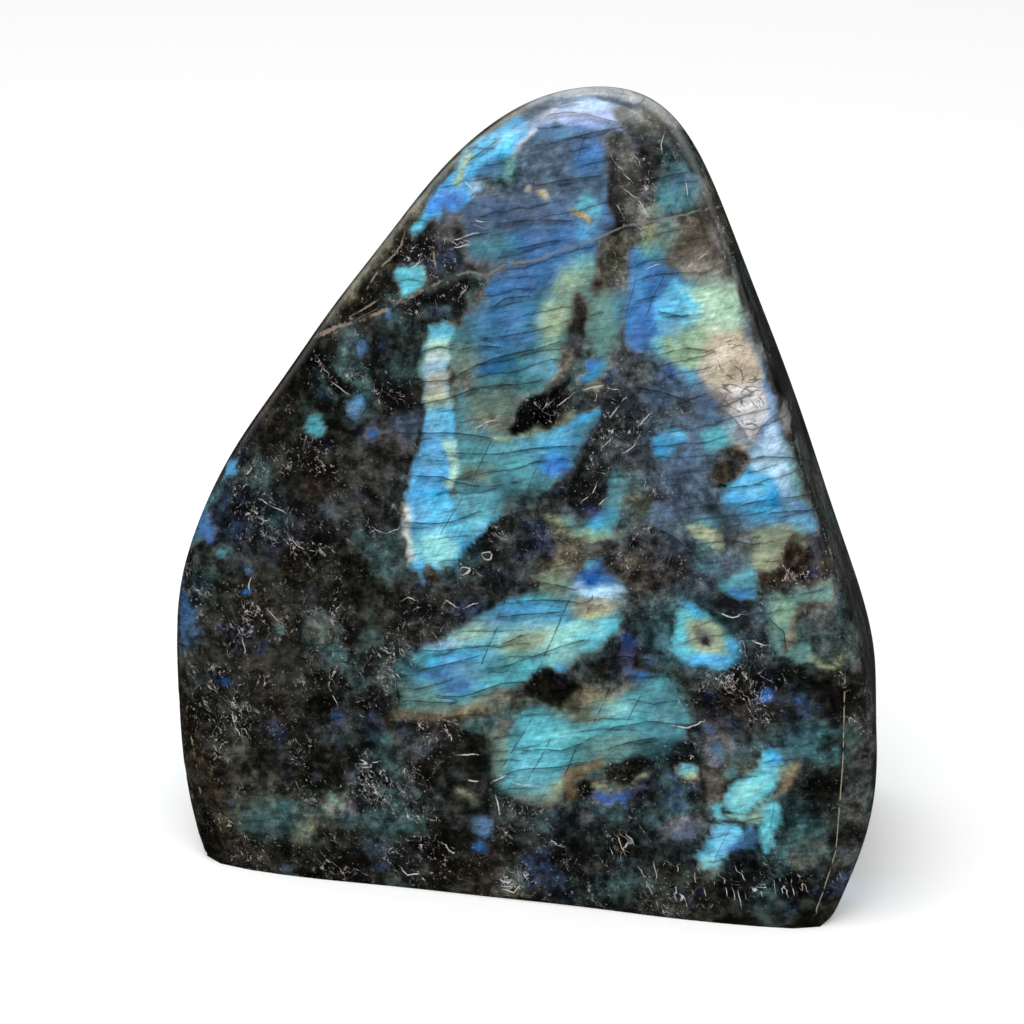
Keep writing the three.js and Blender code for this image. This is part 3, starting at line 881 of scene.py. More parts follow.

# Lights and darks laid over the rest, among them a painted reflection on the right side face and a painted
# highlight on the crown rim.
TOUCHES: tuple[Patch, ...] = (
    oval("cyan by the tan", Hue.CYAN, 716, 437, 13, 11, 0, 6, 0.8),
    oval("pearl by the tan", Hue.PEARL, 741, 433, 13, 13, 0, 6, 0.55),
    oval("steel by the tan", Hue.STEEL, 714, 418, 9, 8, 0, 5, 0.6),
    oval("fog by the tan", Hue.TAN, 744, 447, 9, 5, -20, 4, 0.6),
    area("column light", Hue.SEA, ((588, 292), (606, 288), (624, 286), (624, 330), (616, 356), (594, 358),
        (588, 344), (590, 320)), 6, 0.7),
    oval("column azure", Hue.AZURE, 621, 304, 5, 22, 0, 5, 0.5),
    oval("corner light", Hue.TURQUOISE, 732, 773, 11, 9, 0, 5, 0.7),
    *ovals("storm spots", Hue.STORM, (664, 393, 24, 11, 0, 8, 0.7), (758, 618, 10, 14, 0, 6, 0.7)),
    *ovals("steel spots", Hue.STEEL, (704, 406, 12, 10, 0, 6, 0.55), (647, 660, 8, 8, 0, 5, 0.6), (493, 170,
        12, 9, 0, 6, 0.7)),
    # The oval at 855, 774 is a painted highlight on the rounded right edge; the other ovals are pale grey
    # spots of the stone.
    *ovals("fog spots and ridge highlight", Hue.FOG, (787, 420, 6, 18, -10, 4, 0.8), (855, 774, 9, 20, 0, 6, 0.8), (592, 868, 12,
        7, 0, 5, 0.7), (479, 786, 9, 8, 0, 5, 0.6)),
    oval("arm light", Hue.SKY, 549, 437, 18, 7, -12, 5, 0.7),
    *ovals("celadon spots", Hue.CELADON, (577, 535, 20, 6, 0, 5, 0.7), (646, 240, 11, 10, 0, 6, 0.6),
        (550, 576, 9, 8, 0, 5, 0.6)),
    oval("foot light", Hue.LICHEN, 256, 800, 18, 15, 0, 8, 0.75),
    *ovals("ice spots", Hue.ICE, (788, 494, 7, 14, -16, 5, 0.65), (731, 422, 8, 8, 0, 5, 0.5)),
    oval("right low sea", Hue.SEA, 802, 478, 6, 16, -16, 5, 0.6),
    *ovals("slate spots", Hue.SLATE, (675, 548, 16, 9, 0, 6, 0.7), (446, 232, 13, 12, 0, 7, 0.8), (438, 312,
        12, 5, 0, 5, 0.6), (577, 341, 8, 11, 0, 5, 0.6), (409, 730, 10, 9, 0, 6, 0.6)),
    *ovals("soot spots", Hue.SOOT, (701, 745, 8, 13, 20, 5, 0.8), (692, 675, 18, 9, 4, 5, 0.8), (694, 731, 8,
        10, 0, 5, 0.6), (466, 577, 14, 8, -20, 5, 0.7)),
    oval("lower dark", Hue.DEEP_TEAL, 413, 660, 15, 7, 0, 5, 0.8),
    *ovals("sea spots", Hue.SEA, (592, 338, 8, 13, 0, 5, 0.8), (802, 537, 7, 10, 0, 5, 0.6), (404, 373, 16,
        13, 0, 6, 0.45), (703, 549, 10, 7, 0, 5, 0.6), (494, 744, 6, 10, 0, 5, 0.6), (255, 808, 15, 14, 0, 7,
        0.5), (801, 842, 9, 10, 0, 6, 0.5)),
    oval("oval sage", Hue.SAGE, 604, 773, 8, 6, 0, 4, 0.6),
    oval("sliver pearl", Hue.PEARL, 787, 420, 5, 16, -10, 4, 0.35),
    oval("field moss", Hue.MOSS, 465, 381, 9, 11, 0, 6, 0.4),
    *ovals("ink spots", Hue.INK, (662, 780, 13, 12, -30, 6, 0.7), (633, 814, 12, 7, 0, 6, 0.6), (389, 653, 17,
        11, 0, 7, 0.6), (207, 675, 13, 8, 0, 6, 0.7), (394, 534, 6, 17, 0, 4, 0.6), (465, 597, 12, 10, -20, 6,
        0.6), (367, 786, 12, 9, 0, 6, 0.5), (206, 830, 6, 22, 0, 5, 0.6), (777, 390, 5, 14, -18, 5, 0.45)),
    # Painted reflection: a grey band along the right side face stands in for the white surround mirrored
    # there at a grazing angle.
    band("right side reflection", Hue.SMOKE, ((800, 440), (836, 548), (857, 630), (866, 720), (846, 860)), 16, 6,
        0.6),
    band("crown rim light", Hue.PEARL, ((556, 98), (600, 92), (640, 100)), 7, 4, 0.45),
    band("shoulder fog", Hue.FOG, ((702, 178), (711, 215), (721, 250)), 8, 5, 0.55),
)

DRAWING: tuple[Patch, ...] = (
    *GROUND_WASH, *CROWN, *FIELD, *BLADE, *RIGHT_FLASH, *LOWER_RIGHT, *LOWER_FLASH, *SECOND_FLASH, *CORNER,
    *FLANK, *FOOT, *TOUCHES,
)

# The healed main crack, pale slivers where cleavage catches the light, and a painted highlight on the left
# edge.
PALE_LINES: tuple[Line, ...] = (
    Line("main crack, left", ((318, 336), (340, 326), (358, 322), (372, 316), (385, 310), (402, 300),
        (430, 287)), 2.0, Hue.CLAY),
    Line("main crack, middle", ((430, 287), (455, 275), (470, 272), (487, 275), (508, 263), (535, 261),
        (560, 250), (580, 245)), 1.4, Hue.FOG),
    Line("main crack, right", ((580, 245), (600, 237), (625, 226), (660, 220), (675, 217), (702, 210),
        (718, 207)), 1.3, Hue.FOG),
    *lines("strands of the main crack", Hue.CLAY, 1.0, ((352, 316), (365, 308), (375, 302)), ((363, 297),
        (372, 280), (383, 265), (395, 254), (402, 243), (405, 232)), ((433, 245), (434, 258), (436, 268))),
    # Painted highlight: a thin pale line on the rounded left edge, where the polish catches the light.
    Line("left rim", ((192, 740), (196, 765), (200, 790)), 0.7, Hue.GOLD),
    *lines("shoulder slivers", Hue.PEARL, 0.5, ((456, 220), (465, 217), (474, 220), (482, 222)), ((456, 240),
        (466, 236), (474, 233), (482, 233)), ((456, 248), (466, 245)), ((420, 262), (412, 268)), ((467, 184),
        (474, 190), (482, 194)), ((470, 200), (477, 193))),
    *lines("crown slivers", Hue.BLUSH, 0.45, ((664, 134), (661, 144), (663, 157)), ((612, 158), (622, 172),
        (630, 180)), ((640, 202), (647, 215)), ((626, 190), (634, 197)), ((686, 182), (688, 198)),
        ((643, 270), (655, 265), (667, 262)), ((690, 266), (699, 259), (705, 254)), ((617, 205), (622, 214))),
    *lines("slope slivers", Hue.BLUSH, 0.5, ((612, 415), (620, 404), (624, 399)), ((640, 424), (650, 414)),
        ((604, 446), (612, 438)), ((626, 452), (634, 446), (638, 438)), ((584, 500), (592, 494), (596, 486)),
        ((597, 506), (604, 500)), ((560, 404), (568, 398)), ((575, 392), (590, 388), (604, 385)), ((607, 388),
        (616, 390)), ((478, 427), (487, 422), (496, 420)), ((536, 414), (544, 408), (548, 402))),
    *lines("middle slivers", Hue.BLUSH, 0.6, ((484, 553), (490, 551), (493, 557), (488, 561), (483, 557)),
        ((463, 568), (469, 566), (471, 572), (465, 574)), ((392, 670), (398, 676)), ((436, 637), (441, 645)),
        ((400, 602), (408, 597), (414, 599)), ((408, 612), (416, 609)), ((446, 600), (455, 606)), ((468, 606),
        (476, 603))),
    *lines("lower slivers", Hue.PEARL, 0.7, ((466, 780), (480, 782), (489, 784), (496, 780), (503, 777)),
        ((516, 784), (525, 785), (535, 785)), ((462, 755), (475, 754)), ((497, 800), (500, 815)), ((675, 726),
        (688, 728), (700, 723)), ((722, 614), (732, 618), (739, 616)), ((755, 642), (763, 645))),
    *lines("foot slivers", Hue.TAN, 0.6, ((641, 870), (647, 884), (653, 895), (658, 905)), ((674, 894),
        (678, 904)), ((695, 876), (696, 892)), ((618, 838), (623, 851)), ((625, 834), (632, 842)),
        ((643, 830), (648, 838)), ((678, 868), (676, 879)), ((654, 865), (657, 877))),
    *lines("rain at the foot", Hue.PEARL, 0.45, ((626, 838), (629, 847)), ((631, 836), (635, 848)),
        ((675, 882), (677, 894)), ((683, 895), (687, 905)), ((718, 878), (721, 886)), ((724, 881),
        (727, 893)), ((734, 862), (737, 872)), ((742, 874), (745, 882)), ((751, 883), (754, 892)),
        ((760, 889), (764, 902)), ((764, 878), (767, 887)), ((780, 882), (783, 893)), ((791, 884),
        (794, 892)), ((767, 862), (769, 871)), ((703, 886), (706, 896)), ((738, 893), (741, 903)),
        ((612, 852), (615, 860))),
    *lines("foot grains", Hue.PEARL, 0.6, ((402, 870), (409, 876), (418, 872), (424, 880)), ((498, 878),
        (507, 884), (512, 880)), ((505, 890), (514, 893), (519, 886)), ((446, 846), (452, 854), (460, 850)),
        ((358, 758), (366, 763), (376, 762)), ((360, 768), (370, 767)), ((770, 862), (770, 872)), ((744, 884),
        (750, 880)), ((760, 893), (766, 886)), ((781, 884), (788, 889))),
    *lines("flank slivers", Hue.BLUSH, 0.4, ((333, 383), (340, 388), (346, 393)), ((318, 362), (326, 372)),
        ((262, 500), (272, 507), (284, 511)), ((292, 540), (300, 548), (312, 551)), ((306, 537), (314, 543)),
        ((376, 530), (386, 534), (396, 529)), ((252, 575), (248, 588)), ((270, 612), (277, 620), (282, 630)),
        ((232, 715), (236, 728), (242, 738)), ((330, 690), (336, 702)), ((242, 640), (246, 652))),
    *lines("worms in the tan", Hue.COAL, 0.8, ((717, 356), (726, 361), (735, 360)), ((735, 366), (741, 370),
        (743, 377)), ((722, 388), (730, 389), (726, 396)), ((740, 403), (744, 398), (751, 397)), ((733, 348),
        (740, 345), (747, 347)), ((744, 354), (750, 356), (748, 362)), ((726, 374), (733, 378)), ((752, 374),
        (757, 379)), ((710, 372), (717, 369)), ((744, 383), (754, 382), (760, 379)), ((741, 393), (746, 388)),
        ((724, 400), (729, 405)), ((737, 386), (731, 384), (722, 385)), ((705, 352), (713, 350)), ((731, 393),
        (738, 396), (742, 404)), ((745, 388), (751, 392), (758, 390)), ((752, 402), (757, 408), (755, 416)),
        ((736, 410), (743, 414), (742, 421)), ((748, 366), (755, 366)), ((728, 342), (735, 338)), ((719, 366),
        (723, 371)), ((758, 396), (763, 401), (764, 409)), ((746, 425), (752, 423), (757, 426))),
)

# Dark cracks along the lamellae, and a painted highlight along the ridge of the right side.
DARK_LINES: tuple[Line, ...] = (
    # Painted highlight: a thin pale line where the rounded edge of the right side catches the light.
    Line("right ridge highlight", ((845, 675), (843, 760), (840, 800), (836, 850), (830, 870), (822, 895), (816, 910)),
        0.6, Hue.TAN),
    *lines("blade and field", Hue.INK, 0.8, ((400, 389), (422, 382), (448, 380), (473, 367), (493, 359),
        (516, 353), (533, 350), (559, 342)), ((400, 407), (423, 404), (450, 398), (473, 389), (500, 385),
        (519, 384), (539, 381)), ((485, 338), (506, 336), (529, 332), (546, 328), (566, 321)), ((400, 433),
        (425, 433), (455, 433), (471, 435), (490, 438)), ((445, 452), (471, 454), (500, 454), (529, 449),
        (549, 447), (574, 446)), ((400, 459), (420, 459), (440, 461), (455, 460)), ((417, 476), (442, 477),
        (456, 482), (475, 486), (493, 486), (516, 482)), ((533, 462), (549, 460), (566, 459)), ((493, 307),
        (506, 298), (529, 296)), ((408, 522), (430, 524), (452, 522), (478, 512)), ((425, 350), (438, 347),
        (450, 349)), ((462, 349), (480, 346), (498, 347))),
    *lines("lower flash", Hue.INK, 0.8, ((420, 650), (440, 651), (465, 648), (490, 646), (506, 643),
        (520, 636)), ((420, 670), (440, 666), (460, 661), (475, 657)), ((488, 669), (510, 665), (530, 657),
        (546, 652), (565, 645), (585, 640)), ((440, 696), (460, 697), (475, 693), (488, 688), (505, 683),
        (525, 682)), ((500, 617), (530, 614), (560, 612)), ((520, 601), (541, 600), (566, 601), (600, 606)),
        ((545, 583), (560, 586), (575, 590)), ((405, 700), (428, 702), (455, 703))),
    *lines("second flash", Hue.INK, 0.8, ((525, 751), (545, 749), (560, 751), (576, 746), (591, 738),
        (615, 727), (635, 724), (651, 721), (671, 724), (694, 725)), ((500, 778), (511, 772), (526, 769),
        (545, 768), (561, 767), (580, 762)), ((610, 748), (630, 742), (655, 738))),
    *lines("right flash", Hue.NIGHT, 0.8, ((728, 488), (745, 486), (762, 484)), ((738, 506), (755, 502),
        (775, 499), (795, 497), (820, 492)), ((758, 457), (775, 457), (795, 458), (810, 461)), ((770, 513),
        (795, 511), (818, 510)), ((662, 312), (680, 316), (700, 314)), ((640, 300), (656, 296)), ((668, 352),
        (686, 348), (704, 350))),
    *lines("corner of the tan", Hue.SLATE, 1.2, ((723, 410), (735, 420), (745, 432), (749, 443), (760, 430),
        (769, 420), (775, 415))),
    *lines("crown", Hue.NIGHT, 0.8, ((538, 121), (552, 114), (566, 112), (582, 113), (600, 118), (616, 122)),
        ((540, 145), (556, 142), (572, 138), (590, 133), (606, 130)), ((540, 185), (560, 181), (580, 178),
        (598, 176)), ((498, 223), (520, 221), (545, 220), (570, 221)), ((505, 252), (530, 246), (556, 240)),
        ((640, 182), (660, 178), (684, 172)), ((470, 160), (484, 150), (498, 140))),
    *lines("ground", Hue.INK, 0.9, ((790, 690), (820, 688), (850, 686), (874, 685)), ((600, 660), (622, 656),
        (648, 660)), ((730, 540), (752, 545), (772, 541)), ((660, 530), (676, 538), (690, 552)), ((640, 388),
        (662, 392), (690, 402)), ((770, 620), (784, 632), (786, 650))),
)

# Steep cracks that cross the lamellae.
STEEP_LINES: tuple[Line, ...] = (
    *lines("lower flash", Hue.INK, 1.0, ((570, 598), (562, 616), (552, 640), (541, 662), (534, 680)),
        ((592, 598), (587, 612), (582, 625)), ((506, 598), (499, 614), (493, 628)), ((497, 628), (489, 646),
        (482, 662))),
    *lines("second flash", Hue.INK, 0.8, ((530, 721), (518, 742), (504, 765)), ((555, 730), (542, 756),
        (528, 779)), ((575, 750), (568, 768), (562, 782)), ((609, 690), (602, 706), (595, 720)), ((640, 697),
        (632, 712), (626, 724))),
    *lines("field", Hue.COAL, 0.8, ((493, 437), (482, 460), (472, 482)), ((541, 458), (534, 474), (527, 492)),
        ((462, 499), (452, 515), (441, 533)), ((552, 462), (545, 478))),
    *lines("right flash", Hue.NIGHT, 0.6, ((636, 280), (630, 300), (625, 318)), ((664, 276), (652, 300),
        (645, 322))),
    *lines("corner", Hue.NIGHT, 0.5, ((774, 806), (771, 826), (770, 844)), ((728, 832), (720, 848),
        (714, 862))),
    *lines("crown", Hue.NIGHT, 0.5, ((548, 108), (541, 122), (536, 134)), ((586, 134), (580, 150),
        (576, 166))),
)

# Where grains and flecks crowd.
CLUSTERS: tuple[Cluster, ...] = (
    Cluster("slope", Spot(338, 376, 28, 26), 1.0),
    Cluster("under the crack", Spot(440, 300, 44, 16, -25), 0.9),
    Cluster("left of the crack", Spot(392, 300, 22, 16), 0.8),
    Cluster("shoulder", Spot(425, 245, 30, 20), 0.6),
    Cluster("crown band", Spot(636, 190, 22, 52, -8), 0.9),
    Cluster("right of the crown", Spot(668, 150, 18, 22), 0.7),
    Cluster("inclusion", Spot(540, 414, 30, 16, -20), 0.8),
    Cluster("middle slope", Spot(640, 430, 22, 46, 25), 0.9),
    Cluster("ring", Spot(586, 495, 20, 16), 0.8),
    Cluster("lower slope", Spot(540, 540, 50, 14, -30), 0.5),
    Cluster("blade foot", Spot(478, 566, 18, 16), 0.9),
    Cluster("above the lower flash", Spot(430, 610, 46, 26, -15), 0.9),
    Cluster("left of the blade", Spot(372, 500, 36, 50), 0.35),
    Cluster("flank top", Spot(290, 530, 60, 26, 20), 0.9),
    Cluster("flank middle", Spot(310, 580, 50, 26), 0.7),
    Cluster("flank left", Spot(238, 620, 22, 56), 0.8),
    Cluster("flank low", Spot(268, 700, 44, 46), 0.8),
    Cluster("flank right", Spot(350, 690, 40, 40), 0.6),
    Cluster("dell", Spot(380, 780, 44, 34), 0.7),
    Cluster("foot left", Spot(320, 850, 70, 24, 5), 0.7),
    Cluster("foot middle", Spot(420, 862, 60, 26, 5), 1.0),
    Cluster("foot grains", Spot(510, 884, 30, 18), 1.0),
    Cluster("foot right", Spot(650, 888, 80, 22, 4), 0.4),
    Cluster("corner foot", Spot(762, 882, 44, 24), 0.4),
    Cluster("right gap", Spot(660, 780, 40, 34), 0.5),
    Cluster("right ground", Spot(735, 690, 60, 26), 0.7),
    Cluster("eye edge", Spot(755, 635, 22, 30), 0.6),
    Cluster("mid arcs", Spot(690, 560, 40, 22), 0.7),
    Cluster("tan", Spot(738, 372, 28, 34, -15), 0.4),
    Cluster("right strip", Spot(855, 780, 14, 90), 0.4),
)


@dataclass
class PhotoCamera:
    """The camera at the photograph's viewing angle. Distances are in metres and angles in degrees."""

    azimuth: float = 11.5
    elevation: float = 25.0
    distance: float = 0.593
    lens: float = 100.0
    sensor: float = 36.0
    aim: Vector = field(default_factory=lambda: Vector((-0.0060, 0.0016, 0.0733)))

    @property
    def back(self) -> Vector:
        """The direction from the stone to the camera."""
        turn, rise = math.radians(self.azimuth), math.radians(self.elevation)
        return Vector((math.sin(turn) * math.cos(rise), -math.cos(turn) * math.cos(rise), math.sin(rise)))

    def place(self) -> bpy.types.Object:
        """Makes the scene's camera.

        Returns:
            The camera object.
        """
        data = bpy.data.cameras.new("photo_camera")
        data.lens = self.lens
        data.sensor_width = self.sensor
        camera = bpy.data.objects.new("photo_camera", data)
        camera.location = self.aim + self.back * self.distance
        camera.rotation_mode = "QUATERNION"
        camera.rotation_quaternion = (-self.back).to_track_quat("-Z", "Y")
        bpy.context.scene.collection.objects.link(camera)
        bpy.context.scene.camera = camera
        return camera

    def pixels(self, points: np.ndarray) -> np.ndarray:
        """Where points of the stone lie in the photograph.

        Args:
            points: Positions in metres, one a row.

        Returns:
            Pixel positions in the 1024 frame, one a row.
        """
        back = np.array(self.back)
        right = np.array(Vector((0, 0, 1)).cross(self.back).normalized())
        up = np.cross(back, right)
        ray = points - (np.array(self.aim) + back * self.distance)
        reach = -(ray @ back)
        scale = self.lens / self.sensor * IMAGE
        return np.stack(
            [IMAGE / 2 + scale * (ray @ right) / reach, IMAGE / 2 - scale * (ray @ up) / reach], axis=1
        )


@dataclass(frozen=True)
class Pattern:
    """A noise in the stone: waves for each metre, octaves, how strong they are, and how far it is stirred."""

    waves: float
    octaves: float
    strength: float
    stir: float = 0.0


class Bench:
    """Lays out the nodes of one shader tree."""

    def __init__(self, tree: bpy.types.NodeTree) -> None:
        """Keeps the tree to work on."""
        self.tree = tree

    def node(self, kind: str, **settings: object) -> bpy.types.Node:
        """Adds a node.

        Args:
            kind: The node's Blender type.
            settings: Properties to set on it.

        Returns:
            The node.
        """
        made = self.tree.nodes.new(kind)
        for name, value in settings.items():
            setattr(made, name, value)
        return made

    def feed(self, socket: Socket, value: Value | Tint) -> None:
        """Links a socket to another, or sets its value.

        Args:
            socket: The input to feed.
            value: A socket, a number, a vector or one of the stone's colours.
        """
        if isinstance(value, Socket):
            self.tree.links.new(value, socket)
        elif isinstance(value, Hue):
            socket.default_value = (*value.linear, 1.0)
        else:
            socket.default_value = value

    def fed(self, kind: str, inputs: dict[int | str, Value | Tint], output: int | str = 0,
            **settings: object) -> Socket:
        """Adds a node and feeds it.

        Args:
            kind: The node's Blender type.
            inputs: What each input is fed with.
            output: Which of its outputs is wanted.
            settings: Properties to set on it.

        Returns:
            That output.
        """
        made = self.node(kind, **settings)
        for name, value in inputs.items():
            self.feed(made.inputs[name], value)
        return made.outputs[output]

    def math(self, operation: str, *values: Value, clamp: bool = False) -> Socket:
        """Adds a Math node over one to three values."""
        return self.fed("ShaderNodeMath", dict(enumerate(values)), operation=operation, use_clamp=clamp)

    def times(self, first: Value, *others: Value) -> Socket:
        """Multiplies two or more values.

        Args:
            first: The first value.
            others: The values to multiply it by.

        Returns:
            The product.
        """
        for other in others:
            first = self.math("MULTIPLY", first, other)
        return first

    def rest(self, value: Value) -> Socket:
        """What a value leaves of 1."""
        return self.math("SUBTRACT", 1.0, value)

    def sum(self, value: Value, factor: Value, start: Value) -> Socket:
        """Adds a value, multiplied by a factor, to a start."""
        return self.math("MULTIPLY_ADD", value, factor, start)

    def blend(self, share: Value, first: Value, second: Value) -> Socket:
        """Mixes two values. The share is the second's."""
        return self.fed("ShaderNodeMix", {0: share, 2: first, 3: second}, data_type="FLOAT")

    def mix(self, share: Value, first: Tint, second: Tint) -> Socket:
        """Mixes two colours. The share is the second's."""
        return self.fed("ShaderNodeMix", {0: share, 6: first, 7: second}, 2, data_type="RGBA")

    def step(self, value: Value, low: Value, high: Value) -> Socket:
        """Steps smoothly from 0 at low to 1 at high."""
        inputs = {"Value": value, "From Min": low, "From Max": high}
        return self.fed("ShaderNodeMapRange", inputs, "Result", interpolation_type="SMOOTHSTEP")

    def noise(self, place: Socket, pattern: Pattern, output: str = "Fac", flat: bool = False) -> Socket:
        """Adds a noise.

        Args:
            place: Where it is read.
            pattern: Its grain.
            output: Its "Fac" or its "Color".
            flat: Whether it reads two dimensions only.

        Returns:
            That output.
        """
        inputs = {"Vector": place, "Scale": pattern.waves, "Detail": pattern.octaves,
                  "Roughness": pattern.strength, "Distortion": pattern.stir}
        return self.fed("ShaderNodeTexNoise", inputs, output, noise_dimensions="2D" if flat else "3D")

    def spots(self, place: Socket, pattern: Pattern, span: Span) -> Socket:
        """Adds the spots of a noise, from 0 to 1 over a span of it."""
        return self.step(self.noise(place, pattern), *span)

    def attribute(self, name: str, output: str = "Fac") -> Socket:
        """Reads one of the skin's attributes."""
        return self.fed("ShaderNodeAttribute", {}, output, attribute_type="GEOMETRY", attribute_name=name)

    def turned(self, place: Socket, rise: float, stretch: Stretch | None = None) -> Socket:
        """Turns a pattern so that its X runs up the front at an angle, and stretches it.

        Args:
            place: Where the pattern is read.
            rise: The angle in degrees.
            stretch: The pattern's pitch along X, Y and Z after the turn.

        Returns:
            The turned and stretched place.
        """
        turn = (0.0, math.radians(rise), 0.0)
        place = self.fed("ShaderNodeMapping", {"Vector": place, "Rotation": turn})
        if stretch is None:
            return place
        return self.fed("ShaderNodeMapping", {"Vector": place, "Scale": stretch})

    def ramp(self, share: Socket, stops: tuple[tuple[float, Hue], ...]) -> Socket:
        """Adds a ramp of the stone's colours.

        Args:
            share: Where on the ramp to read.
            stops: Places on it and their colours.

        Returns:
            The colour there.
        """
        colour = self.fed("ShaderNodeValToRGB", {"Fac": share}, "Color")
        elements = colour.node.color_ramp.elements
        while len(elements) < len(stops):
            elements.new(0.5)
        for element, (at, hue) in zip(elements, stops):
            element.position = at
            element.color = (*hue.linear, 1.0)
        return colour


class Group:
    """A shader effect as a node group, read at a place and put out as one mask."""

    def __init__(self, name: str, numbers: tuple[str, ...], mask: str) -> None:
        """Makes the empty group.

        Args:
            name: The group's name.
            numbers: The names of the numbers it is given.
            mask: The name of the mask it puts out.
        """
        self.tree = bpy.data.node_groups.new(name, "ShaderNodeTree")
        self.mask = mask
        self.tree.interface.new_socket("Place", in_out="INPUT", socket_type="NodeSocketVector")
        for number in numbers:
            self.tree.interface.new_socket(number, in_out="INPUT", socket_type="NodeSocketFloat")
        self.tree.interface.new_socket(mask, in_out="OUTPUT", socket_type="NodeSocketFloat")
        self.bench = Bench(self.tree)
        self.given = self.bench.node("NodeGroupInput").outputs
        self.result = self.bench.node("NodeGroupOutput").inputs[mask]

    def place(self, bench: Bench, **values: Value) -> Socket:
        """Puts the group into a material, and gives its mask there."""
        return bench.fed("ShaderNodeGroup", values, self.mask, node_tree=self.tree)


class LamellaCracks(Group):
    """The fine dark cracks that run along the lamellae of the feldspar."""

    sway = Pattern(42.0, 2.0, 0.5)
    sway_reach = 0.007
    row_shift = 0.173
    wander = Pattern(110.0, 4.0, 0.6)
    wander_span = (0.9, 0.05)
    showing = Pattern(62.0, 3.0, 0.66)
    fade = 0.12
    least_width = 1e-6

    def __init__(self) -> None:
        """Lays out the group: each lamella holds one crack that wanders across it and comes and goes."""
        super().__init__("lamella cracks", ("Spacing", "Width", "Gaps"), "Crack")
        bench, given = self.bench, self.given
        split = bench.node("ShaderNodeSeparateXYZ")
        bench.feed(split.inputs[0], given["Place"])
        height = bench.sum(bench.noise(given["Place"], self.sway), self.sway_reach, split.outputs["Z"])
        count = bench.math("DIVIDE", height, given["Spacing"])
        row = bench.times(bench.math("FLOOR", count), self.row_shift)
        spot = bench.fed("ShaderNodeCombineXYZ", {"X": split.outputs["X"], "Y": row})
        centre = bench.sum(bench.noise(spot, self.wander, flat=True), *self.wander_span)
        gap = bench.math("ABSOLUTE", bench.math("SUBTRACT", bench.math("FRACT", count), centre))
        off = bench.times(gap, given["Spacing"])
        shown = bench.noise(spot, self.showing, flat=True)
        presence = bench.step(shown, given["Gaps"], bench.math("ADD", given["Gaps"], self.fade))
        width = bench.sum(presence, given["Width"], self.least_width)
        inside = bench.math("SUBTRACT", 1.0, bench.math("DIVIDE", off, width), clamp=True)
        bench.feed(self.result, bench.times(inside, presence))


class DrawnLine(Group):
    """A drawn line, read from its signed distance in half widths, with an unsteady edge and gaps."""

    unsteady = Pattern(800.0, 2.0, 0.6)
    breaks = Pattern(330.0, 2.0, 0.6)
    edge = (0.4, 1.3)
    fade = 0.14

    def __init__(self) -> None:
        """Lays out the group."""
        super().__init__("drawn line", ("Side", "Near", "Stray", "Gaps"), "Line")
        bench, given = self.bench, self.given
        stray = bench.math("SUBTRACT", bench.noise(given["Place"], self.unsteady), NOISE_MIDDLE)
        off = bench.math("ABSOLUTE", bench.sum(stray, given["Stray"], given["Side"]))
        body = bench.rest(bench.step(off, *self.edge))
        broken = bench.noise(given["Place"], self.breaks)
        kept = bench.step(broken, given["Gaps"], bench.math("ADD", given["Gaps"], self.fade))
        bench.feed(self.result, bench.times(body, given["Near"], kept))


@dataclass(frozen=True)
class LineLook:
    """How the drawn lines of one set look: how unsteady, in half widths, how often broken, and how strong."""

    kind: str
    stray: float
    gaps: float
    strength: float


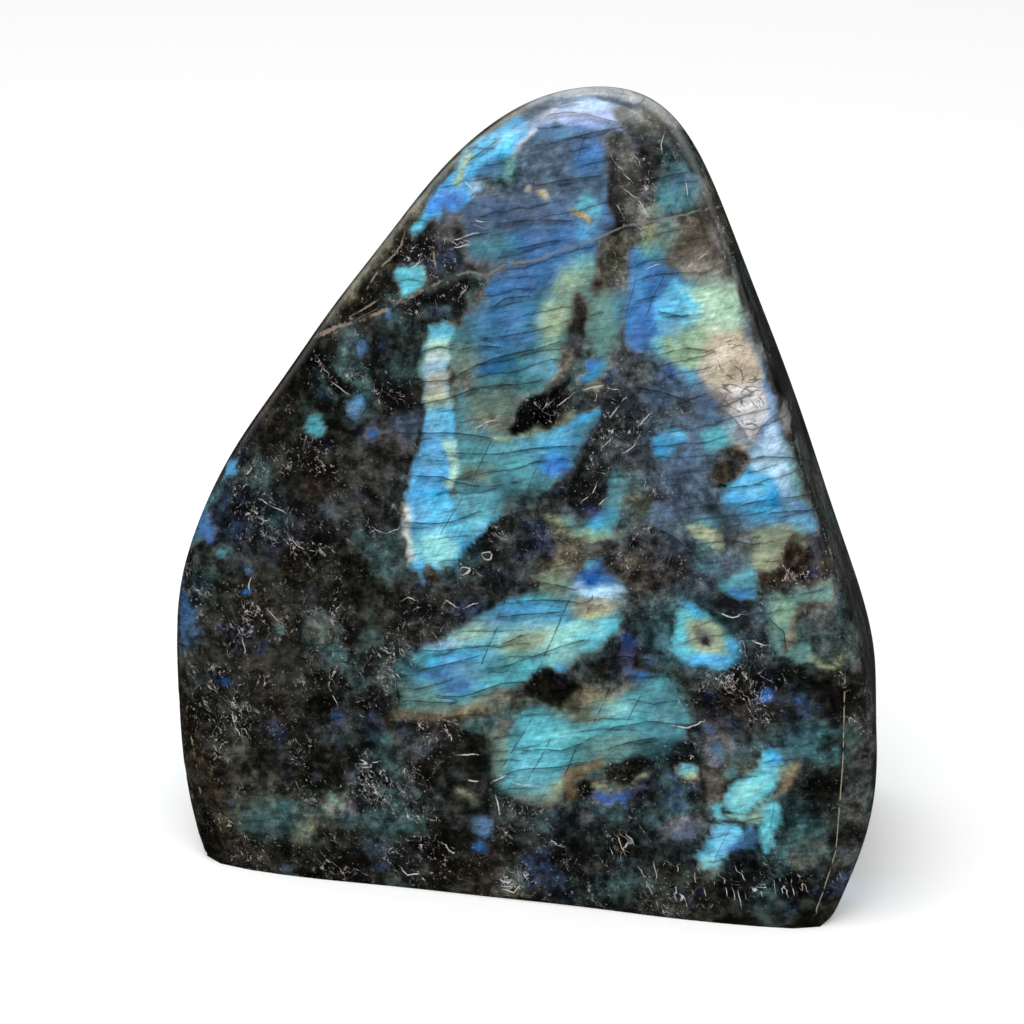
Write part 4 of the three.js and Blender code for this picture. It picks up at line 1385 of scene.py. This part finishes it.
@dataclass(frozen=True)
class LabradoriteLook:
    """The patterns, spans and strengths of polished labradorite. Angles are in degrees, lengths in metres.

    A light is the factor and the start of a mask's effect. A crack is its spacing, its width and its gaps.
    """

    name: str = "labradorite"
    roughness: float = 0.10
    crack_roughness: float = 0.30
    index: float = 1.56
    lamella_rise: float = 14.0
    streak_rise: float = 64.0
    flash_rise: float = -32.0
    zones: tuple[tuple[float, Hue], ...] = (
        (0.0, Hue.ROYAL), (0.18, Hue.DENIM), (0.34, Hue.AZURE), (0.46, Hue.SKY), (0.58, Hue.TURQUOISE),
        (0.70, Hue.TEAL), (0.80, Hue.SEA), (0.90, Hue.GOLD_GREEN), (1.0, Hue.TAN),
    )
    grounds: tuple[tuple[float, Hue], ...] = (
        (0.30, Hue.SOOT), (0.45, Hue.OLIVE_BLACK), (0.55, Hue.UMBER), (0.62, Hue.COAL), (0.72, Hue.NIGHT),
    )
    flash_stretch: Stretch = (0.55, 1.0, 1.0)
    flash_swell: Pattern = Pattern(25.0, 3.0, 0.5, 0.9)
    flash_edge: Pattern = Pattern(260.0, 4.0, 0.62)
    flash_edge_reach: float = 0.18
    flash_ground: Pattern = Pattern(70.0, 4.0, 0.62)
    flash_zone: Pattern = Pattern(31.0, 4.0, 0.6, 0.6)
    zone_span: Span = (0.28, 0.78)
    blue_edge: Span = (0.50, 0.58)
    flash_span: Span = (0.48, 0.59)
    tone: Pattern = Pattern(52.0, 5.0, 0.62)
    tone_strength: float = 0.6
    ink_span: Span = (0.004, 0.016)
    cold_span: Span = (0.52, 0.68)
    warm_span: Span = (0.46, 0.32)
    night: Pattern = Pattern(88.0, 4.0, 0.66)
    night_span: Span = (0.56, 0.68)
    ragged: Pattern = Pattern(330.0, 5.0, 0.68)
    ragged_span: Span = (0.5, 1.0)
    edge_strength: float = 3.0
    fringe: Pattern = Pattern(44.0, 3.0, 0.6)
    fringe_span: Span = (0.46, 0.60)
    fringe_strength: float = 0.4
    clouds: Pattern = Pattern(105.0, 8.0, 0.68)
    cloud_span: Span = (0.34, 0.64)
    cloud_share: float = 0.6
    wisps: Pattern = Pattern(460.0, 4.0, 0.66)
    wisp_span: Span = (0.34, 0.66)
    dull_power: float = 2.5
    dull_light: Span = (3.3, 0.12)
    bright_light: Span = (0.66, 0.62)
    streaks: Pattern = Pattern(1900.0, 2.0, 0.55)
    streak_stretch: Stretch = (0.09, 0.5, 1.0)
    streak_light: Span = (0.64, 0.68)
    lamellae: Pattern = Pattern(1300.0, 4.0, 0.7)
    lamella_stretch: Stretch = (0.25, 0.6, 1.0)
    lamella_light: Span = (1.8, 0.10)
    hue_drift: Span = (0.05, 0.470)
    colour_drift: Span = (0.6, 0.70)
    clumps: Pattern = Pattern(72.0, 3.0, 0.55)
    clump_span: Span = (0.44, 0.62)
    clump_light: Span = (0.6, 0.4)
    loose_grain: Span = (-0.4, 0.5)
    grains: Pattern = Pattern(250.0, 6.0, 0.70)
    grain_span: Span = (0.48, 0.58)
    grain_light: Span = (0.90, 0.06)
    crack_light: Span = (0.6, 0.25)
    main_crack: tuple[float, float, float] = (0.0027, 0.00024, 0.46)
    crack_strength: float = 0.6
    crack_shade: tuple[float, float, float] = (0.0027, 0.0011, 0.44)
    crack_shade_strength: float = 0.4
    hair_crack: tuple[float, float, float] = (0.0012, 0.00014, 0.46)
    hair_strength: float = 0.36
    flecks: tuple[tuple[float, Pattern, Pattern], ...] = (
        (64.0, Pattern(640.0, 2.0, 0.5, 0.4), Pattern(520.0, 3.0, 0.62)),
        (-28.0, Pattern(760.0, 2.0, 0.5, 0.4), Pattern(600.0, 3.0, 0.62)),
        (115.0, Pattern(700.0, 2.0, 0.5, 0.4), Pattern(560.0, 3.0, 0.62)),
    )
    fleck_stretch: Stretch = (0.42, 0.8, 1.0)
    fleck_chance: Span = (-0.30, 0.66)
    fleck_fade: float = 0.26
    fleck_edge: Span = (0.002, 0.022)
    dots: Pattern = Pattern(1500.0, 2.0, 0.6)
    dot_span: Span = (0.63, 0.74)
    shade_span: Span = (-2.0, 1.0)
    shade_strength: float = 0.36
    lines: tuple[LineLook, ...] = (
        LineLook("dark", 1.6, 0.34, 0.6),
        LineLook("steep", 2.0, 0.36, 0.62),
        LineLook("pale", 2.8, 0.40, 0.75),
    )


class LabradoriteFinish:
    """Polished labradorite: dark mottled ground, flashes, cracks along the lamellae, grains and flecks."""

    def __init__(self, look: LabradoriteLook) -> None:
        """Starts the material with the drawn colours.

        Args:
            look: The stone's patterns, spans and strengths.
        """
        self.look = look
        self.material = bpy.data.materials.new(look.name)
        self.material.use_nodes = True
        self.material.node_tree.nodes.clear()
        self.bench = Bench(self.material.node_tree)
        self.place = self.bench.node("ShaderNodeTexCoord").outputs["Object"]
        self.front = self.bench.attribute("front")
        self.lit = self.bench.attribute("lit")
        self.colour = self.bench.attribute("paint", "Color")

    def make(self) -> bpy.types.Material:
        """Builds up the material, layer by layer.

        Returns:
            The finished material.
        """
        self.grow()
        self.mottle()
        self.light()
        crowding = self.crowding()
        self.speckle(crowding)
        self.crack()
        self.fleck(crowding)
        self.shade()
        group = DrawnLine()
        vein = [self.draw(group, line) for line in self.look.lines][-1]
        bench, look = self.bench, self.look
        rough = bench.sum(vein, look.crack_roughness, look.roughness)
        inputs = {"Base Color": self.colour, "Roughness": rough, "IOR": look.index}
        shader = bench.fed("ShaderNodeBsdfPrincipled", inputs, "BSDF")
        bench.feed(bench.node("ShaderNodeOutputMaterial").inputs["Surface"], shader)
        return self.material

    def cover(self, share: Value, hue: Hue | Socket) -> None:
        """Mixes a colour over what is there."""
        self.colour = self.bench.mix(share, self.colour, hue)

    def grow(self) -> None:
        """Adds the flashes of the sides and the back, in zones of colour inside a blue edge."""
        bench, look = self.bench, self.look
        along = bench.turned(self.place, look.flash_rise, look.flash_stretch)
        reach = look.flash_edge_reach
        swell = bench.math("SUBTRACT", bench.noise(along, look.flash_swell), reach / 2)
        depth = bench.sum(bench.noise(self.place, look.flash_edge), reach, swell)
        ground = bench.ramp(bench.noise(self.place, look.flash_ground), look.grounds)
        flash = bench.ramp(bench.spots(along, look.flash_zone, look.zone_span), look.zones)
        flash = bench.mix(bench.step(depth, *look.blue_edge), Hue.INDIGO, flash)
        grown = bench.step(depth, *look.flash_span)
        self.colour = bench.mix(self.front, bench.mix(grown, ground, flash), self.colour)
        self.lit = bench.blend(self.front, grown, self.lit)

    def mottle(self) -> None:
        """Clouds the dark ground with cold, warm and night-blue spots, and frays the edges of the flashes."""
        bench, look = self.bench, self.look
        tone = bench.noise(self.place, look.tone)
        seen = bench.fed("ShaderNodeRGBToBW", {"Color": self.colour}, "Val")
        dim = bench.times(bench.sum(self.lit, -look.tone_strength, look.tone_strength),
                          bench.step(seen, *look.ink_span))
        self.cover(bench.times(bench.step(tone, *look.cold_span), dim), Hue.PINE)
        self.cover(bench.times(bench.step(tone, *look.warm_span), dim), Hue.BARK)
        self.cover(bench.times(bench.spots(self.place, look.night, look.night_span), dim), Hue.MIDNIGHT)
        between = bench.times(self.lit, bench.rest(self.lit), look.edge_strength)
        frayed = bench.math("ADD", bench.noise(self.place, look.ragged), self.lit)
        self.cover(bench.times(bench.rest(bench.step(frayed, *look.ragged_span)), between), Hue.INK)
        fringe = bench.spots(self.place, look.fringe, look.fringe_span)
        self.cover(bench.times(fringe, between, look.fringe_strength), Hue.BRONZE)

    def light(self) -> None:
        """Lights and darkens the colour by clouds, wisps, and streaks along and across the lamellae."""
        bench, look = self.bench, self.look
        drift = bench.node("ShaderNodeSeparateColor")
        bench.feed(drift.inputs[0], bench.noise(self.place, look.clouds, "Color"))
        wisps = bench.times(bench.spots(self.place, look.wisps, look.wisp_span), 1.0 - look.cloud_share)
        cloud = bench.sum(bench.step(drift.outputs["Red"], *look.cloud_span), look.cloud_share, wisps)
        dull = bench.sum(bench.math("POWER", cloud, look.dull_power), *look.dull_light)
        bright = bench.sum(cloud, *look.bright_light)
        across = bench.turned(self.place, look.streak_rise, look.streak_stretch)
        along = bench.turned(self.place, look.lamella_rise, look.lamella_stretch)
        value = bench.times(
            bench.blend(self.lit, dull, bright),
            bench.sum(bench.noise(across, look.streaks), *look.streak_light),
            bench.sum(bench.noise(along, look.lamellae), *look.lamella_light),
        )
        self.colour = bench.fed("ShaderNodeHueSaturation", {
            "Hue": bench.sum(drift.outputs["Green"], *look.hue_drift),
            "Saturation": bench.sum(drift.outputs["Blue"], *look.colour_drift),
            "Value": value,
            "Color": self.colour,
        })

    def crowding(self) -> Socket:
        """Finds how closely grains and flecks crowd together. The lit stone has few of them.

        Returns:
            The crowding, from 0 to 1.
        """
        bench, look = self.bench, self.look
        clumps = bench.spots(self.place, look.clumps, look.clump_span)
        drawn = bench.times(bench.attribute("grain"), bench.sum(clumps, *look.clump_light))
        sparse = bench.times(clumps, bench.sum(self.lit, *look.loose_grain))
        return bench.blend(self.front, sparse, bench.math("MAXIMUM", sparse, drawn))

    def speckle(self, crowding: Socket) -> None:
        """Adds the dark grains, where they crowd."""
        grains = self.bench.spots(self.place, self.look.grains, self.look.grain_span)
        self.cover(self.bench.times(grains, self.bench.sum(crowding, *self.look.grain_light)), Hue.INK)

    def crack(self) -> None:
        """Adds the fine cracks along the lamellae, with a soft shade, and finer ones between.

        The lit stone shows them best.
        """
        bench, look = self.bench, self.look
        lamella = bench.turned(self.place, look.lamella_rise)
        shown = bench.sum(self.lit, *look.crack_light)
        group = LamellaCracks()
        wide, hair, thin = (
            group.place(bench, Place=lamella, Spacing=spacing, Width=width, Gaps=gaps)
            for spacing, width, gaps in (look.crack_shade, look.hair_crack, look.main_crack)
        )
        self.cover(bench.times(wide, wide, shown, look.crack_shade_strength), Hue.INK)
        self.cover(bench.times(hair, shown, look.hair_strength), Hue.INK)
        self.cover(bench.times(thin, shown, look.crack_strength), Hue.INK)

    def fleck(self, crowding: Socket) -> None:
        """Adds the pale curved flecks where the cleavage of a grain catches the light, and pale dots.

        Args:
            crowding: How closely they crowd together, from 0 to 1.
        """
        bench, look = self.bench, self.look
        low = bench.sum(crowding, *look.fleck_chance)
        high = bench.math("ADD", low, look.fleck_fade)
        for rise, curl, chance in look.flecks:
            along = bench.turned(self.place, rise, look.fleck_stretch)
            off = bench.math("ABSOLUTE", bench.math("SUBTRACT", bench.noise(along, curl), NOISE_MIDDLE))
            kept = bench.step(bench.noise(along, chance), low, high)
            self.cover(bench.times(bench.rest(bench.step(off, *look.fleck_edge)), kept), Hue.BLUSH)
        self.cover(bench.times(bench.spots(self.place, look.dots, look.dot_span), crowding), Hue.BLUSH)

    def shade(self) -> None:
        """Adds the soft shade under each drawn dark crack."""
        bench, look = self.bench, self.look
        under = bench.step(bench.attribute("dark_side"), *look.shade_span)
        self.cover(bench.times(under, bench.attribute("dark_near"), look.shade_strength), Hue.INK)

    def draw(self, group: DrawnLine, line: LineLook) -> Socket:
        """Adds the drawn lines of one set.

        Args:
            group: The drawn line's group.
            line: How the lines look, and which set they are.

        Returns:
            The lines' mask.
        """
        side = self.bench.attribute(f"{line.kind}_side")
        near = self.bench.attribute(f"{line.kind}_near")
        values = {"Place": self.place, "Side": side, "Near": near, "Stray": line.stray, "Gaps": line.gaps}
        mask = group.place(self.bench, **values)
        self.cover(self.bench.times(mask, line.strength), self.bench.attribute(f"{line.kind}_hue", "Color"))
        return mask


@dataclass
class StoneSkin:
    """The polished skin of the stone, laid over the solid and painted with its drawn patches."""

    camera: PhotoCamera
    finish: LabradoriteFinish
    name: str = "stone_skin"
    smooth_levels: int = 3
    front_cuts: int = 5
    back_cuts: int = 1
    front_limit: float = 0.04
    base_limit: float = -0.999
    base_height: float = 1e-5
    weld: float = 1e-6
    pair_angle: float = math.radians(60)
    strays: tuple[tuple[float, float], ...] = ((190.0, 5.0), (520.0, 3.2))
    stray_seed: int = 6
    loose_share: float = 0.5
    loose_span: Span = (-0.30, 0.30)
    front_span: Span = (-0.05, 0.12)
    line_front: Span = (0.0, 0.05)
    lit_range: Span = (0.22, 0.58)
    melt: float = 0.95
    spread_rounds: int = 14
    firm_range: Span = (5.0, 3.4)
    firm_reach: float = 9.0
    cluster_soft: float = 14.0
    line_reach: Span = (3.0, 6.0)
    far_side: float = 9.0

    def build(self, node: bpy.types.Object) -> bpy.types.Object:
        """Makes the skin from the solid, paints it and puts it in the solid's place.

        Args:
            node: The stone's solid.

        Returns:
            The skin.
        """
        shape = self.merged(node)
        smooth = self.smoothed(shape)
        self.divide(shape)
        mesh = bpy.data.meshes.new(self.name)
        shape.to_mesh(mesh)
        shape.free()
        self.settle(mesh, smooth)
        mesh.shade_smooth()
        skin = bpy.data.objects.new(self.name, mesh)
        bpy.context.scene.collection.objects.link(skin)
        self.paint(mesh)
        mesh.materials.append(self.finish.make())
        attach(skin, BODY)
        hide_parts(NODE)
        return skin

    def merged(self, node: bpy.types.Object) -> bmesh.types.BMesh:
        """A welded copy of the solid's mesh, with its triangles joined in pairs.

        Args:
            node: The stone's solid.

        Returns:
            The copy.
        """
        shape = bmesh.new()
        shape.from_mesh(node.data)
        bmesh.ops.remove_doubles(shape, verts=shape.verts, dist=self.weld)
        low = [f for f in shape.faces if f.calc_center_median().z < self.base_height]
        flat = [f for f in low if f.normal.z < self.base_limit]
        bmesh.ops.dissolve_faces(shape, faces=flat)
        bmesh.ops.join_triangles(
            shape,
            faces=shape.faces,
            cmp_seam=False,
            cmp_sharp=False,
            cmp_uvs=False,
            cmp_vcols=False,
            cmp_materials=False,
            angle_face_threshold=self.pair_angle,
            angle_shape_threshold=self.pair_angle,
        )
        for layer in list(shape.loops.layers.uv):
            shape.loops.layers.uv.remove(layer)
        return shape

    def smoothed(self, shape: bmesh.types.BMesh) -> BVHTree:
        """The smooth surface that the skin settles on.

        Args:
            shape: The welded copy of the solid.

        Returns:
            A search tree of the smooth surface.
        """
        mesh = bpy.data.meshes.new("smooth_stone")
        shape.to_mesh(mesh)
        stone = bpy.data.objects.new("smooth_stone", mesh)
        bpy.context.scene.collection.objects.link(stone)
        surface = stone.modifiers.new("smooth", "SUBSURF")
        surface.levels = surface.render_levels = self.smooth_levels
        tree = BVHTree.FromObject(stone, bpy.context.evaluated_depsgraph_get())
        bpy.data.objects.remove(stone)
        bpy.data.meshes.remove(mesh)
        return tree

    def divide(self, shape: bmesh.types.BMesh) -> None:
        """Divides the skin, finely where the front is drawn.

        Args:
            shape: The skin, changed in place.
        """
        back = self.camera.back
        front = [f for f in shape.faces if f.normal.dot(back) > self.front_limit and len(f.verts) == 4]
        fine = {e for f in front for e in f.edges}
        coarse = [e for f in shape.faces if len(f.verts) <= 4 for e in f.edges if e not in fine]
        bmesh.ops.subdivide_edges(shape, edges=list(fine), cuts=self.front_cuts, use_grid_fill=True)
        coarse = [e for e in set(coarse) if e.is_valid]
        bmesh.ops.subdivide_edges(shape, edges=coarse, cuts=self.back_cuts, use_grid_fill=True)
        uneven = [f for f in shape.faces if len(f.verts) > 4 and f.normal.z > self.base_limit]
        bmesh.ops.triangulate(shape, faces=uneven)

    def settle(self, mesh: bpy.types.Mesh, smooth: BVHTree) -> None:
        """Moves every point of the skin onto the smooth surface, except on the sawn base.

        Args:
            mesh: The skin's mesh.
            smooth: The smooth surface.
        """
        for vertex in mesh.vertices:
            if vertex.co.z > self.weld:
                vertex.co = smooth.find_nearest(vertex.co)[0]

    def paint(self, mesh: bpy.types.Mesh) -> None:
        """Lays the drawn patches, lines and clusters on the skin as attributes.

        Args:
            mesh: The skin's mesh.
        """
        count = len(mesh.vertices)
        places = np.empty(count * 3)
        mesh.vertices.foreach_get("co", places)
        places = places.reshape(-1, 3)
        normals = np.empty(count * 3)
        mesh.vertices.foreach_get("normal", normals)
        facing = normals.reshape(-1, 3) @ np.array(self.camera.back)
        pixels = self.camera.pixels(places)
        strayed = pixels.copy()
        loose = np.zeros(count)
        seed_set(self.stray_seed)
        for waves, reach in self.strays:
            drift = np.array([noise_vector(Vector(p) * waves) for p in places])
            strayed += reach * drift[:, :2]
            loose += self.loose_share * drift[:, 2]
        shade = np.tile(Hue.OLIVE_BLACK.shade, (count, 1))
        firm = np.zeros(count)
        for patch in DRAWING:
            near, depth = self.depths(patch.shape, strayed, max(patch.soft, self.firm_reach))
            share = patch.strength * ease(-patch.soft, patch.soft, depth)
            shade[near] += (patch.hue.shade - shade[near]) * share[:, None]
            firmness = ease(*self.firm_range, patch.soft)
            firm[near] = np.maximum(firm[near], firmness * ease(-self.firm_reach, 0.0, depth))
        melted = self.spread(mesh, shade)
        shade += (melted - shade) * (self.melt * (1.0 - firm) * ease(*self.loose_span, loose))[:, None]
        grain = np.zeros(count)
        for cluster in CLUSTERS:
            near, depth = self.depths(cluster.spot, strayed, self.cluster_soft)
            share = cluster.strength * ease(-self.cluster_soft, self.cluster_soft, depth)
            grain[near] = np.maximum(grain[near], share)
        self.store(mesh, "paint", to_linear(shade))
        self.store(mesh, "lit", ease(*self.lit_range, shade.max(axis=1)))
        self.store(mesh, "grain", grain)
        self.store(mesh, "front", ease(*self.front_span, facing))
        for kind, drawn in (("dark", DARK_LINES), ("steep", STEEP_LINES), ("pale", PALE_LINES)):
            side, near, hue = self.trace(drawn, pixels)
            self.store(mesh, f"{kind}_side", side)
            self.store(mesh, f"{kind}_near", near * ease(*self.line_front, facing))
            self.store(mesh, f"{kind}_hue", to_linear(hue))

    def spread(self, mesh: bpy.types.Mesh, shade: np.ndarray) -> np.ndarray:
        """Lets the colours run into one another, as light does inside the stone.

        Args:
            mesh: The skin's mesh.
            shade: The colour of each point of it.

        Returns:
            The colours after they have run.
        """
        ends = np.empty(len(mesh.edges) * 2, np.int32)
        mesh.edges.foreach_get("vertices", ends)
        first, second = ends.reshape(-1, 2).T
        count = len(shade)
        links = np.bincount(ends, minlength=count)
        for _ in range(self.spread_rounds):
            gathered = [np.bincount(first, part[second], count) + np.bincount(second, part[first], count)
                        for part in shade.T]
            shade = np.stack(gathered, axis=1) / links[:, None]
        return shade

    def depths(self, shape: Shape, pixels: np.ndarray, soft: float) -> tuple[np.ndarray, np.ndarray]:
        """Finds the points of the skin in and around a shape.

        Args:
            shape: The shape.
            pixels: Where the skin's points lie in the photograph.
            soft: Half the width of the shape's soft edge.

        Returns:
            The points' indices, and how far inside the shape each is.
        """
        low_x, low_y, high_x, high_y = shape.reach
        x, y = pixels[:, 0], pixels[:, 1]
        across = (x > low_x - soft) & (x < high_x + soft)
        near = np.flatnonzero(across & (y > low_y - soft) & (y < high_y + soft))
        return near, shape.depth(pixels[near])

    def trace(self, drawn: tuple[Line, ...], pixels: np.ndarray) -> tuple[np.ndarray, np.ndarray, np.ndarray]:
        """Follows a set of drawn lines.

        Args:
            drawn: The lines.
            pixels: Where the skin's points lie in the photograph.

        Returns:
            For each point, its side of the nearest line in half widths, how near that is, and its colour.
        """
        nearest = np.full(len(pixels), np.inf)
        side = np.full(len(pixels), self.far_side)
        hue = np.tile(drawn[0].hue.shade, (len(pixels), 1))
        for line in drawn:
            run = np.array(line.points, float)
            for start, end in zip(run[:-1], run[1:]):
                distance, signed = nearest_on(pixels, start, end)
                closer = distance < nearest
                nearest = np.where(closer, distance, nearest)
                side = np.where(closer, signed / line.half_width, side)
                hue[closer] = line.hue.shade
        return np.clip(side, -self.far_side, self.far_side), 1.0 - ease(*self.line_reach, nearest), hue

    def store(self, mesh: bpy.types.Mesh, name: str, values: np.ndarray) -> None:
        """Writes values to the skin as an attribute.

        Args:
            mesh: The skin's mesh.
            name: The attribute's name.
            values: One number or one colour for each point.
        """
        if values.ndim == 1:
            made = mesh.attributes.new(name, "FLOAT", "POINT")
            made.data.foreach_set("value", values.astype(np.float32))
        else:
            made = mesh.attributes.new(name, "FLOAT_COLOR", "POINT")
            filled = np.concatenate([values, np.ones((len(values), 1))], axis=1)
            made.data.foreach_set("color", filled.astype(np.float32).ravel())


@dataclass
class Studio:
    """A plain pale floor, soft light and a white surround. Sizes in metres, powers in watts."""

    floor_size: float = 8.0
    floor_shade: float = 0.97
    floor_roughness: float = 0.9
    key_place: Stretch = (-0.15, -0.25, 0.75)
    key_size: float = 0.6
    key_power: float = 3.0
    fill_place: Stretch = (0.7, -0.3, 0.45)
    fill_size: float = 0.5
    fill_power: float = 0.5
    lamp_aim: Stretch = (0.0, 0.0, 0.08)
    surround: float = 0.78
    floor_glow: float = 0.08
    polish_light: float = 1.1
    polish_low: float = 0.02
    behind_span: Span = (-0.25, 0.7)
    above_span: Span = (0.45, 0.9)
    raised_span: Span = (-0.1, 0.3)

    def build(self) -> None:
        """Makes the floor, the lights and the surround."""
        self.floor()
        self.lamp("overhead", Vector(self.key_place), self.key_size, self.key_power)
        self.lamp("side", Vector(self.fill_place), self.fill_size, self.fill_power)
        self.world()
        bpy.context.scene.view_settings.view_transform = "Standard"

    def floor(self) -> bpy.types.Object:
        """Makes the pale floor.

        Returns:
            The floor.
        """
        shape = bmesh.new()
        bmesh.ops.create_grid(shape, x_segments=1, y_segments=1, size=self.floor_size / 2)
        mesh = bpy.data.meshes.new("floor")
        shape.to_mesh(mesh)
        shape.free()
        floor = bpy.data.objects.new("floor", mesh)
        bpy.context.scene.collection.objects.link(floor)
        paint = bpy.data.materials.new("pale_floor")
        paint.use_nodes = True
        shader = paint.node_tree.nodes["Principled BSDF"]
        shader.inputs["Base Color"].default_value = (*[self.floor_shade] * 3, 1.0)
        shader.inputs["Roughness"].default_value = self.floor_roughness
        shader.inputs["Specular IOR Level"].default_value = 0.0
        shader.inputs["Emission Color"].default_value = (1.0, 1.0, 1.0, 1.0)
        shader.inputs["Emission Strength"].default_value = self.floor_glow
        mesh.materials.append(paint)
        floor.visible_glossy = False
        return floor

    def lamp(self, name: str, place: Vector, size: float, power: float) -> bpy.types.Object:
        """Makes a soft lamp that looks at the stone.

        Args:
            name: The lamp's name.
            place: Where it hangs.
            size: The side of its square.
            power: Its power.

        Returns:
            The lamp.
        """
        data = bpy.data.lights.new(name, "AREA")
        data.size = size
        data.energy = power
        lamp = bpy.data.objects.new(name, data)
        lamp.location = place
        lamp.rotation_mode = "QUATERNION"
        lamp.rotation_quaternion = (place - Vector(self.lamp_aim)).to_track_quat("Z", "Y")
        bpy.context.scene.collection.objects.link(lamp)
        return lamp

    def world(self) -> bpy.types.World:
        """Makes the white surround, which shows dark in the polish of the stone's front.

        Returns:
            The world.
        """
        world = bpy.data.worlds.new("studio")
        bpy.context.scene.world = world
        world.use_nodes = True
        world.node_tree.nodes.clear()
        bench = Bench(world.node_tree)
        ray = bench.node("ShaderNodeLightPath").outputs
        split = bench.node("ShaderNodeSeparateXYZ")
        bench.feed(split.inputs[0], bench.node("ShaderNodeTexCoord").outputs["Generated"])
        behind = bench.step(split.outputs["Y"], *self.behind_span)
        above = bench.step(split.outputs["Z"], *self.above_span)
        raised = bench.step(split.outputs["Z"], *self.raised_span)
        high = bench.blend(raised, self.polish_low, self.polish_light)
        seen = bench.math("MAXIMUM", bench.times(behind, high), bench.times(above, self.polish_light))
        strength = bench.blend(ray["Is Glossy Ray"], self.surround, seen)
        shown = bench.blend(ray["Is Camera Ray"], strength, 1.0)
        light = bench.node("ShaderNodeBackground")
        light.inputs["Color"].default_value = (1.0, 1.0, 1.0, 1.0)
        bench.feed(light.inputs["Strength"], shown)
        result = bench.node("ShaderNodeOutputWorld")
        bench.feed(result.inputs["Surface"], light.outputs[0])
        return world


def main() -> None:
    """Loads the solid, dresses it, sets up the studio and notes the sizes."""
    logging.basicConfig(level=logging.INFO, format="%(name)s: %(message)s")
    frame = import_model()
    camera = PhotoCamera()
    camera.place()
    skin = StoneSkin(camera, LabradoriteFinish(LabradoriteLook())).build(frame["nodes"][NODE])
    LOG.info("%s: %d points, %d faces", skin.name, len(skin.data.vertices), len(skin.data.polygons))
    Studio().build()


if __name__ == "__main__":
    main()
